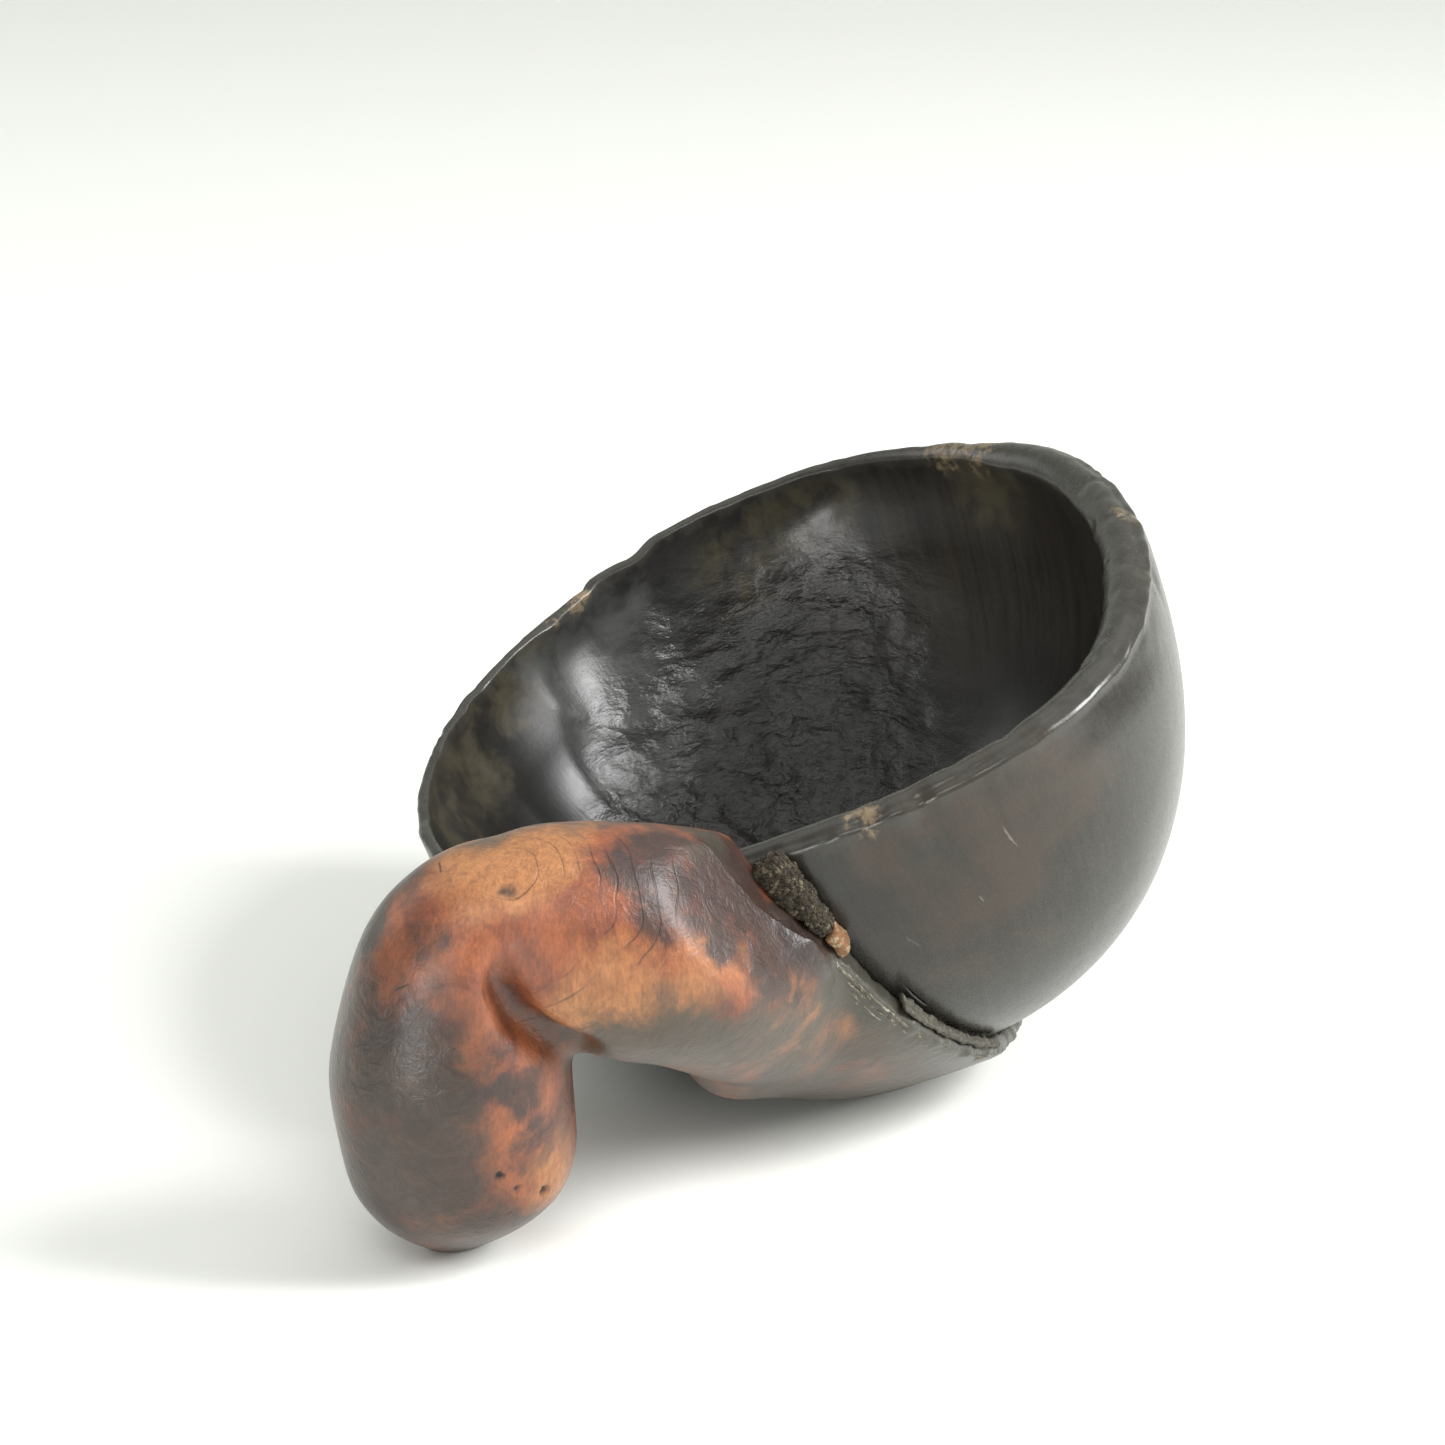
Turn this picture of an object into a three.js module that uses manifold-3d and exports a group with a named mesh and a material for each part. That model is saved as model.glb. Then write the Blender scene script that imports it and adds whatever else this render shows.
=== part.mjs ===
// A one-hand feed scoop carved from burl wood: a deep round bowl that leans on the table, and a
// hooked handle whose broad root wraps the near side of the bowl and runs under it as a heel. Bark
// is trapped in the seam between the two. The bowl and the root are held by two hidden pegs.
// Millimetres, +Z up. The object stands on Z = 0, +X is the high side of the mouth, and the handle
// is on the -Y side. The origin is under the middle of the whole scoop.
import * as THREE from "three";
import { mergeVertices } from "three/addons/utils/BufferGeometryUtils.js";
import Module from "manifold-3d";

// ---------------------------------------------------------------- driving dimensions
// The bowl, drawn about the middle of its mouth.
const MOUTH_HEIGHT = 87.7; // centre of the mouth above the table
const LEAN_SIDE = 22; // degrees: the mouth leans down to -X
const LEAN_FRONT = 8.3; // degrees: and a little to -Y
const BOWL_DEPTH = 89; // mouth plane to the outside of the bottom
const BELLY = 3; // how far the wall swells beyond a plain ellipsoid
const FLOOR = 13; // thickness of the bottom
// Round the mouth, every 45 degrees from the high side towards the back:
const MOUTH_RADII = [80, 85, 91, 87, 86.5, 85, 81, 88]; // outside of the rim
const RIM_HEIGHTS = [0, 0.6, 1.4, 0.6, 0, 0, 0, 0]; // rise of the rim above the mouth plane
const WALLS = [10, 9, 6.5, 5.5, 5.5, 7, 8.5, 9.5]; // thickness of the wall at the rim
const RIM_ROUNDING = [[-1.2, 0.3], [-1.2, 0.75]]; // [degrees below the mouth, share of the wall]

// The seam between the bowl and the root lies in one plane through the middle of the mouth.
const SEAM_START = -91; // degrees round the mouth where the seam leaves the rim
const SEAM_SLANT = 0.25; // how much it drifts to +X on its way down
const SEAM_WIDTH = 3; // from the seam plane to the edge of the root
const SEAM_FLARE = 3; // extra width where it opens at the rim
const FLARE_END = 12; // degrees down the seam where the extra width ends
const FIT_GAP = 0.35; // clearance between pieces that touch
const ROOM = 400; // side of a cutting block, more than the whole scoop

// The root of the handle, a skin over the bowl's wall that grows thicker towards the arm.
const ROOT_START = -2; // a little past the seam, to be cut at it
const ROOT_REACH = 52; // from the seam round the bowl
const ROOT_TOP = -2; // degrees down the seam
const ROOT_MIDDLE = 34; // degrees down the seam where it reaches furthest
const ROOT_BOTTOM = 94;
const ROOT_EDGE = 6.5; // thickness at the seam
const ROOT_THINNING = 2.3; // how much thinner the edge is at the heel
const THINNING = [20, 50]; // degrees down the seam over which it thins
const ROOT_SWELL = 7; // extra thickness towards the arm
const SWELL_REACH = 40; // from the seam to where it is fullest
const SWELL_FADE = [20, 42]; // degrees down the seam over which it goes
const ROOT_FADE = 0.75; // share of the reach where the skin starts to run out
const ROOT_UNDER = -3; // the skin starts this far inside the bowl, to be cut by it
const ROOT_SINK = 2; // how far the skin's own surface sinks where it runs out
const NOTCH = { away: -8, down: -20, low: -3, high: 30 }; // room kept clear for the flare

// Stations along the handle: "deep" is half the size across the bend, and "tall" is half the size
// in the plane of the bend.
const BEND_NORMAL = new THREE.Vector3(0.6, -0.8, 0);
const ARM = [
  { at: [16, -42, 38], deep: 17, tall: 26 },
  { at: [-3, -66, 48], deep: 19, tall: 26.5 },
  { at: [-26, -94, 63], deep: 22, tall: 23.5 },
  { at: [-48.2, -101.5, 69], deep: 20, tall: 22 },
  { at: [-72, -104, 67.5], deep: 17, tall: 17 },
];
const KNOB = [
  { at: [-50.6, -104.5, 87], deep: 18, tall: 15 },
  { at: [-66.2, -105.8, 62.8], deep: 18.5, tall: 19.4 },
  { at: [-67.4, -103.4, 40.8], deep: 22, tall: 24.2 },
  { at: [-66, -97.6, 20.3], deep: 22.5, tall: 23.7 },
  { at: [-65.5, -92, -1.5], deep: 12, tall: 17 },
];

const BARK_SKIN = 0.8; // how far the bark stays below the root's surface
const CHIP_FROM = 10.5; // degrees down the seam
const CHIP_TO = 13.5;
const LIP_FROM = 27;
const LIP_TO = 58;

const PEG_RADIUS = 3.5;
const PEG_LENGTH = 12;
const PEG_IN_WALL = 6; // length of the peg that sits in the bowl's wall
const PEG_AWAY = 22; // from the seam round the bowl
const PEGS = { peg_upper: 14, peg_lower: 28 }; // degrees down the seam

// ---------------------------------------------------------------- small helpers
const wasm = await Module();
wasm.setup();
const { clamp, degToRad, lerp, radToDeg, smoothstep } = THREE.MathUtils;

// A smooth closed curve through values that are spread evenly round a full turn.
function roundTheMouth(values, degrees) {
  const n = values.length;
  const place = ((((degrees % 360) + 360) % 360) * n) / 360;
  const i = Math.floor(place);
  const t = place - i;
  const [a, b, c, d] = [-1, 0, 1, 2].map((k) => values[(i + k + n) % n]);
  const slope = (c - a) * t;
  const bend = (2 * a - 5 * b + 4 * c - d) * t ** 2;
  return 0.5 * (2 * b + slope + bend + (3 * b - a - 3 * c + d) * t ** 3);
}

function moveVertices(geometry, place) {
  const position = geometry.attributes.position;
  const point = new THREE.Vector3();
  for (let i = 0; i < position.count; i += 1) {
    place(point.fromBufferAttribute(position, i));
    position.setXYZ(i, point.x, point.y, point.z);
  }
  return geometry;
}

function solidOf(geometry) {
  const bare = geometry.clone();
  bare.deleteAttribute("normal");
  bare.deleteAttribute("uv");
  const merged = mergeVertices(bare, 1e-4);
  return new wasm.Manifold(
    new wasm.Mesh({
      numProp: 3,
      vertProperties: merged.attributes.position.array,
      triVerts: new Uint32Array(merged.index.array),
    }),
  );
}

function geometryOf(solid) {
  const mesh = solid.getMesh();
  const geometry = new THREE.BufferGeometry();
  geometry.setAttribute("position", new THREE.BufferAttribute(mesh.vertProperties, 3));
  geometry.setIndex(new THREE.BufferAttribute(mesh.triVerts, 1));
  geometry.computeVertexNormals();
  return geometry;
}

// Everything below the table.
function belowTable() {
  return solidOf(new THREE.BoxGeometry(ROOM, ROOM, ROOM).translate(0, 0, -ROOM / 2));
}

// ---------------------------------------------------------------- the bowl
const mouthFrame = new THREE.Matrix4()
  .makeRotationFromEuler(new THREE.Euler(degToRad(LEAN_FRONT), degToRad(-LEAN_SIDE), 0))
  .setPosition(0, 0, MOUTH_HEIGHT);

// A point on the bowl's wall: an angle round the mouth, an angle below the mouth plane, how far
// through the wall it is (0 outside, 1 inside), and a lift outwards.
function wallPoint(round, below, through, lift = 0) {
  const angle = degToRad(below);
  const radius = roundTheMouth(MOUTH_RADII, round) - roundTheMouth(WALLS, round) * through + lift;
  const out = radius * Math.cos(angle) + BELLY * Math.sin(2 * Math.max(angle, 0));
  const rise = roundTheMouth(RIM_HEIGHTS, round) * Math.cos(angle) ** 6;
  const down = (BOWL_DEPTH - FLOOR * through + lift) * Math.sin(angle);
  const turn = degToRad(round);
  const point = new THREE.Vector3(out * Math.cos(turn), out * Math.sin(turn), rise - down);
  point.applyMatrix4(mouthFrame);
  point.z = Math.max(point.z, 0);
  return point;
}

// Turned from a list of rows, each [degrees below the mouth, share of the wall], from the outside
// of the bottom up to the rim and down the inside.
function turned(rows, lift, segments = 64) {
  const halfTurn = (i) => Math.sin((Math.PI * i) / (rows.length - 1));
  const profile = rows.map((_, i) => new THREE.Vector2(i % (rows.length - 1) ? halfTurn(i) : 0, i));
  return moveVertices(new THREE.LatheGeometry(profile, segments), (p) => {
    const [below, through] = rows[Math.round(p.y)];
    p.copy(wallPoint(radToDeg(Math.atan2(p.x, p.z)), below, through, lift));
  });
}

const OUTSIDE_ROWS = Array.from({ length: 17 }, (_, i) => [90 - (90 * i) / 16, 0]);
const INSIDE_ROWS = Array.from({ length: 14 }, (_, i) => [(90 * (i + 1)) / 14, 1]);

function bowlShell() {
  return solidOf(turned([...OUTSIDE_ROWS, ...RIM_ROUNDING, ...INSIDE_ROWS], 0));
}

// The bowl as a full lump with a domed top, grown by the clearance, for cutting what fits round it.
function bowlLump() {
  const dome = OUTSIDE_ROWS.slice(0, -1).map(([below]) => [-below, 0]);
  return solidOf(turned([...OUTSIDE_ROWS, ...dome.reverse()], FIT_GAP));
}

// ---------------------------------------------------------------- the seam
// Directions from the middle of the mouth, in the mouth's own frame: to the top of the seam,
// straight down the seam, and across it towards the high side.
const seamTop = new THREE.Vector3(Math.cos(degToRad(SEAM_START)), Math.sin(degToRad(SEAM_START)), 0);
const seamAcross = new THREE.Vector3(-seamTop.y, seamTop.x, SEAM_SLANT).normalize();
const seamDown = new THREE.Vector3().crossVectors(seamAcross, seamTop);

// A point over the bowl's wall: how far from the seam towards the handle, how far down the seam in
// degrees, and how far out from the wall.
function seamPoint(away, down, lift) {
  const side = away / MOUTH_RADII[6];
  const direction = new THREE.Vector3()
    .addScaledVector(seamTop, Math.cos(degToRad(down)) * Math.cos(side))
    .addScaledVector(seamDown, Math.sin(degToRad(down)) * Math.cos(side))
    .addScaledVector(seamAcross, -Math.sin(side));
  const round = radToDeg(Math.atan2(direction.y, direction.x));
  return wallPoint(round, -radToDeg(Math.asin(clamp(direction.z, -1, 1))), 0, lift);
}

// A closed patch over the bowl's wall. down is [from, to] in degrees, away is a function of down
// that gives [from, to], and lift is a function of away and down that gives [from, to].
function seamPatch({ away, down, lift, columns, rows }) {
  return moveVertices(new THREE.BoxGeometry(1, 1, 1, columns, rows, 1), (p) => {
    const degrees = lerp(down[1], down[0], p.y + 0.5);
    const [near, far] = away(degrees);
    const out = lerp(far, near, p.x + 0.5);
    const [low, high] = lift(out, degrees);
    p.copy(seamPoint(out, degrees, p.z > 0 ? high : low));
  });
}

// All the room on the bowl's side of a plane beside the seam, some way towards the handle.
function beyondSeam(distance) {
  const turn = new THREE.Quaternion().setFromUnitVectors(new THREE.Vector3(0, 0, 1), seamAcross);
  const block = new THREE.BoxGeometry(ROOM, ROOM, ROOM).translate(0, 0, ROOM / 2 - distance);
  return solidOf(block.applyQuaternion(turn).applyMatrix4(mouthFrame));
}

// The extra width of the seam, from the rim down to FLARE_END.
function flare(down) {
  return SEAM_FLARE * (1 - smoothstep(down, ROOT_TOP, FLARE_END));
}

// ---------------------------------------------------------------- the handle
// A round-ended sweep through stations.
function sweep(stations, around, rings) {
  const line = new THREE.CatmullRomCurve3(stations.map((s) => new THREE.Vector3(...s.at)));
  const size = (key, t) => {
    const place = t * (stations.length - 1);
    const i = Math.min(Math.floor(place), stations.length - 2);
    return lerp(stations[i][key], stations[i + 1][key], smoothstep(place - i, 0, 1));
  };
  return moveVertices(new THREE.SphereGeometry(1, around, rings), (p) => {
    const t = Math.acos(clamp(p.y, -1, 1)) / Math.PI;
    const swell = Math.hypot(p.x, p.z) < 1e-6 ? 0 : Math.sqrt(1 - Math.abs(2 * t - 1) ** 5);
    const round = Math.atan2(p.z, p.x);
    const tangent = line.getTangent(t);
    const across = BEND_NORMAL.clone().addScaledVector(tangent, -BEND_NORMAL.dot(tangent)).normalize();
    const up = new THREE.Vector3().crossVectors(tangent, across);
    p.copy(line.getPoint(t))
      .addScaledVector(across, size("deep", t) * swell * Math.cos(round))
      .addScaledVector(up, size("tall", t) * swell * Math.sin(round));
  });
}

// Thickness of the root at the seam, which thins out a little towards the heel.
function edgeThickness(down) {
  return ROOT_EDGE - ROOT_THINNING * smoothstep(down, ...THINNING);
}

function rootSkin() {
  const thickness = (away, down) => {
    const fullness = smoothstep(away, 0, SWELL_REACH) * (1 - smoothstep(down, ...SWELL_FADE));
    const middle = (down - ROOT_MIDDLE) / (ROOT_BOTTOM - ROOT_MIDDLE);
    const fade = 1 - smoothstep(Math.hypot(away / ROOT_REACH, middle), ROOT_FADE, 1);
    const full = edgeThickness(down) + ROOT_SWELL * fullness + ROOT_SINK;
    return [ROOT_UNDER, full * fade - ROOT_SINK];
  };
  return seamPatch({
    away: () => [ROOT_START, ROOT_REACH],
    down: [ROOT_TOP, ROOT_BOTTOM],
    lift: thickness,
    columns: 18,
    rows: 24,
  });
}

function rootNotch() {
  return seamPatch({
    away: (down) => [NOTCH.away, SEAM_WIDTH + flare(down)],
    down: [NOTCH.down, FLARE_END],
    lift: () => [NOTCH.low, NOTCH.high],
    columns: 2,
    rows: 8,
  });
}

// ---------------------------------------------------------------- bark, chip and pegs
// A strip lying in the seam, clear of the bowl and of the edge of the root.
function seamStrip(from, to) {
  return seamPatch({
    away: (down) => [FIT_GAP, SEAM_WIDTH + flare(down) - 2 * FIT_GAP],
    down: [from, to],
    lift: (_, down) => [2 * FIT_GAP, edgeThickness(down) - BARK_SKIN],
    columns: 2,
    rows: 12,
  });
}

function pegAxis(down) {
  const inside = seamPoint(PEG_AWAY, down, -PEG_IN_WALL);
  const outside = seamPoint(PEG_AWAY, down, 0);
  return { inside, direction: outside.sub(inside).normalize() };
}

function peg(down, clearance) {
  const { inside, direction } = pegAxis(down);
  const turn = new THREE.Quaternion().setFromUnitVectors(new THREE.Vector3(0, 1, 0), direction);
  const length = PEG_LENGTH + 2 * clearance;
  const middle = inside.addScaledVector(direction, PEG_LENGTH / 2);
  return new THREE.CylinderGeometry(PEG_RADIUS + clearance, PEG_RADIUS + clearance, length, 20)
    .applyQuaternion(turn)
    .translate(...middle);
}

// ---------------------------------------------------------------- materials and assembly
const finish = (color, roughness) => new THREE.MeshStandardMaterial({ color, roughness, metalness: 0 });
const darkWood = finish(0x2a2725, 0.42);
const redWood = finish(0x7a4228, 0.4);
const bark = finish(0x2c2018, 0.95);
const chipWood = finish(0x9a6238, 0.75);
const pegWood = finish(0xa9825a, 0.7);

const scoop = new THREE.Group();

function add(name, geometry, material) {
  const mesh = new THREE.Mesh(geometry, material);
  mesh.name = name;
  scoop.add(mesh);
}

const lump = bowlLump();
let bowl = bowlShell();
let handle = solidOf(sweep(ARM, 28, 26))
  .add(solidOf(sweep(KNOB, 28, 26)))
  .add(solidOf(rootSkin()))
  .subtract(lump)
  .subtract(beyondSeam(SEAM_WIDTH))
  .subtract(solidOf(rootNotch()))
  .subtract(belowTable());
for (const [name, down] of Object.entries(PEGS)) {
  const hole = solidOf(peg(down, FIT_GAP));
  bowl = bowl.subtract(hole);
  handle = handle.subtract(hole);
  add(name, peg(down, 0), pegWood);
}
add("bowl", geometryOf(bowl), darkWood);
add("handle", geometryOf(handle), redWood);

const SEAM_PIECES = [
  { name: "bark_packing", from: ROOT_TOP, to: CHIP_FROM - 1, material: bark },
  { name: "seam_chip", from: CHIP_FROM, to: CHIP_TO, material: chipWood },
  { name: "bark_lip", from: LIP_FROM, to: LIP_TO, material: bark },
];
for (const { name, from, to, material } of SEAM_PIECES) {
  const strip = solidOf(seamStrip(from, to)).subtract(lump).subtract(belowTable());
  const width = SEAM_WIDTH + flare(from) - FIT_GAP;
  add(name, geometryOf(strip.intersect(beyondSeam(width)).subtract(beyondSeam(0))), material);
}

const box = new THREE.Box3().setFromObject(scoop, true);
const middle = box.getCenter(new THREE.Vector3());
scoop.position.set(-middle.x, -middle.y, -box.min.z);

export default scoop;
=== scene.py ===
"""The looks of a one-hand feed scoop of burl wood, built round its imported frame.

A deep dark bowl leans on its bottom, a red-brown hooked handle wraps its near side, and crumbling
bark fills the seam between the two. Shapes are worked out in millimetres and stored in metres.
"""

import logging
import math
from dataclasses import dataclass, replace
from enum import Enum

import bmesh
import bpy
import numpy as np
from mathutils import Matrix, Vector


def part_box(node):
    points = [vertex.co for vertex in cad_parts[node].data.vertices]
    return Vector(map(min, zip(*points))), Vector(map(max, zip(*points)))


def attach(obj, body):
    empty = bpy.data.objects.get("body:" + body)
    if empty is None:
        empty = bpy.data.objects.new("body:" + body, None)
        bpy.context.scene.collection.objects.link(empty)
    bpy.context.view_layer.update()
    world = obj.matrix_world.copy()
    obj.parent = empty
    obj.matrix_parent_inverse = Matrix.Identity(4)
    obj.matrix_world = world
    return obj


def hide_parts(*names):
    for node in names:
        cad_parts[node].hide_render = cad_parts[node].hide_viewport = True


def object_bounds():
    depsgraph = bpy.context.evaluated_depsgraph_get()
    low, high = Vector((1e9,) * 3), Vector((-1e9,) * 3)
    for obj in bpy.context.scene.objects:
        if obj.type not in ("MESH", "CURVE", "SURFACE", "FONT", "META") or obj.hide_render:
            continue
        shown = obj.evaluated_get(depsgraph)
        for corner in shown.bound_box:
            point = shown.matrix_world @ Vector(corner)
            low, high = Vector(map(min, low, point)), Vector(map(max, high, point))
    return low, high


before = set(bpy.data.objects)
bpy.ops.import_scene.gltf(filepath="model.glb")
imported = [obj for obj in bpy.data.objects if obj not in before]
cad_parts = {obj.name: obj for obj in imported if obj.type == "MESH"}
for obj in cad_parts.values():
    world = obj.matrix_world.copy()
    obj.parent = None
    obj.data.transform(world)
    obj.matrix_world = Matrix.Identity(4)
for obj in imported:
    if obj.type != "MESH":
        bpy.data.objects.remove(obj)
CAD_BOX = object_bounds()

Array = np.ndarray
Colour = tuple[float, float, float]
Point = tuple[float, float, float]
MM = 0.001
LOG = logging.getLogger("scoop")


class Slot(Enum):
    """The record's material slots."""

    BOWL = "bowl_wood"
    HANDLE = "handle_wood"
    BARK = "bark"
    CHIP = "chip_wood"
    PEG = "peg_wood"


# ---------------------------------------------------------------- number helpers
def smooth(start: float, end: float, value: Array) -> Array:
    """Goes smoothly from 0 at start to 1 at end.

    Args:
        start: where it is 0, above or below end.
        end: where it is 1.
        value: the numbers to follow.

    Returns:
        The share, between 0 and 1.
    """
    share = np.clip((value - start) / (end - start), 0, 1)
    return share * share * (3 - 2 * share)


def bell(value: Array, middle: float, width: float) -> Array:
    """A bell curve of height 1 about middle."""
    return np.exp(-(((value - middle) / width) ** 2))


def soft_noise(points: Array, size: float, seed: int) -> Array:
    """A smooth random field over space.

    Args:
        points: places, as rows of x, y, z.
        size: distance between its humps.
        seed: picks the field.

    Returns:
        One value between -1 and 1 for each point.
    """
    place = points / size + seed * 17.31
    cell = np.floor(place).astype(np.int64)
    part = place - cell
    part = part * part * (3 - 2 * part)
    total = np.zeros(len(points))
    for corner in np.ndindex(2, 2, 2):
        at = cell + np.array(corner)
        code = at[:, 0] * 73856093 ^ at[:, 1] * 19349663 ^ at[:, 2] * 83492791 ^ seed * 2654435
        code = (code ^ (code >> 13)) * 1274126177
        value = ((code ^ (code >> 16)) & 0xFFFF) / 32767.5 - 1
        weight = np.prod(np.where(corner, part, 1 - part), axis=1)
        total += value * weight
    return total


def turbulence(points: Array, size: float, octaves: int, seed: int) -> Array:
    """Soft noise with finer and fainter layers of itself, between about -1 and 1."""
    return sum(soft_noise(points, size / 2**k, seed + k) * 0.5**k for k in range(octaves))


def turned_from(around: Array, middle: float) -> Array:
    """Degrees round from a middle, between -180 and 180."""
    return (around - middle + 180) % 360 - 180


def nearness(points: Array, spot: Point, size: float) -> Array:
    """How near points are to a spot: 1 at it, fading to 0 at a distance of size."""
    return smooth(size, size * 0.35, np.linalg.norm(points - np.array(spot), axis=1))


# ---------------------------------------------------------------- mesh helpers
def linked(name: str, data: bpy.types.ID) -> bpy.types.Object:
    """Puts an object with this data in the scene, at the origin."""
    made = bpy.data.objects.new(name, data)
    bpy.context.scene.collection.objects.link(made)
    return made


def mesh_object(name: str, vertices: Array, faces: list) -> bpy.types.Object:
    """Makes a smooth-shaded mesh piece in the scene.

    Args:
        name: the piece's name.
        vertices: places in metres.
        faces: lists of vertex numbers.

    Returns:
        The new object, at the origin.
    """
    mesh = bpy.data.meshes.new(name)
    mesh.from_pydata(vertices.tolist(), [], faces)
    mesh.polygons.foreach_set("use_smooth", [True] * len(mesh.polygons))
    mesh.update()
    return linked(name, mesh)


def paint(piece: bpy.types.Object, name: str, values: Array) -> None:
    """Stores one number for each vertex under a name that materials read."""
    layer = piece.data.attributes.new(name, "FLOAT", "POINT")
    layer.data.foreach_set("value", np.asarray(values, np.float32))


def places(piece: bpy.types.Object) -> Array:
    """The piece's vertices in millimetres."""
    flat = np.empty(len(piece.data.vertices) * 3)
    piece.data.vertices.foreach_get("co", flat)
    return flat.reshape(-1, 3) / MM


def move_to(piece: bpy.types.Object, points: Array) -> None:
    """Puts the piece's vertices at new places, given in millimetres."""
    piece.data.vertices.foreach_set("co", (points * MM).ravel())
    piece.data.update()


def outward(piece: bpy.types.Object) -> Array:
    """The piece's vertex normals."""
    flat = np.empty(len(piece.data.vertices) * 3)
    piece.data.vertex_normals.foreach_get("vector", flat)
    return flat.reshape(-1, 3)


def settled(piece: bpy.types.Object) -> bpy.types.Object:
    """Turns the piece and its modifiers into one plain mesh."""
    graph = bpy.context.evaluated_depsgraph_get()
    mesh = bpy.data.meshes.new_from_object(piece.evaluated_get(graph))
    piece.modifiers.clear()
    piece.data = mesh
    mesh.name = piece.name
    return piece


def cad_copy(node: str, name: str) -> bpy.types.Object:
    """A merged copy of a CAD node under a new name."""
    shape = bmesh.new()
    shape.from_mesh(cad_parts[node].data)
    bmesh.ops.remove_doubles(shape, verts=shape.verts, dist=0.01 * MM)
    mesh = bpy.data.meshes.new(name)
    shape.to_mesh(mesh)
    shape.free()
    return linked(name, mesh)


def remeshed(piece: bpy.types.Object, voxel: float) -> bpy.types.Object:
    """Gives the piece an even skin with faces of about voxel millimetres."""
    modifier = piece.modifiers.new("skin", "REMESH")
    modifier.mode = "VOXEL"
    modifier.voxel_size = voxel * MM
    modifier.use_smooth_shade = True
    return settled(piece)


def relaxed(piece: bpy.types.Object, hold: Array, passes: int) -> None:
    """Evens out the piece's surface.

    Args:
        piece: the mesh to smooth.
        hold: for each vertex, 0 to let it move and 1 to keep it.
        passes: how many times it is smoothed.
    """
    edges = np.empty(len(piece.data.edges) * 2, np.int64)
    piece.data.edges.foreach_get("vertices", edges)
    a, b = edges.reshape(-1, 2).T
    points = places(piece)
    count = np.bincount(a, minlength=len(points)) + np.bincount(b, minlength=len(points))
    share = (0.5 * (1 - hold) / np.maximum(count, 1))[:, None]
    for _ in range(passes):
        step = points[b] - points[a]
        pull = np.empty_like(points)
        for axis in range(3):
            pull[:, axis] = np.bincount(a, step[:, axis], len(points)) - np.bincount(
                b, step[:, axis], len(points)
            )
        points = points + pull * share
    move_to(piece, points)


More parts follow.
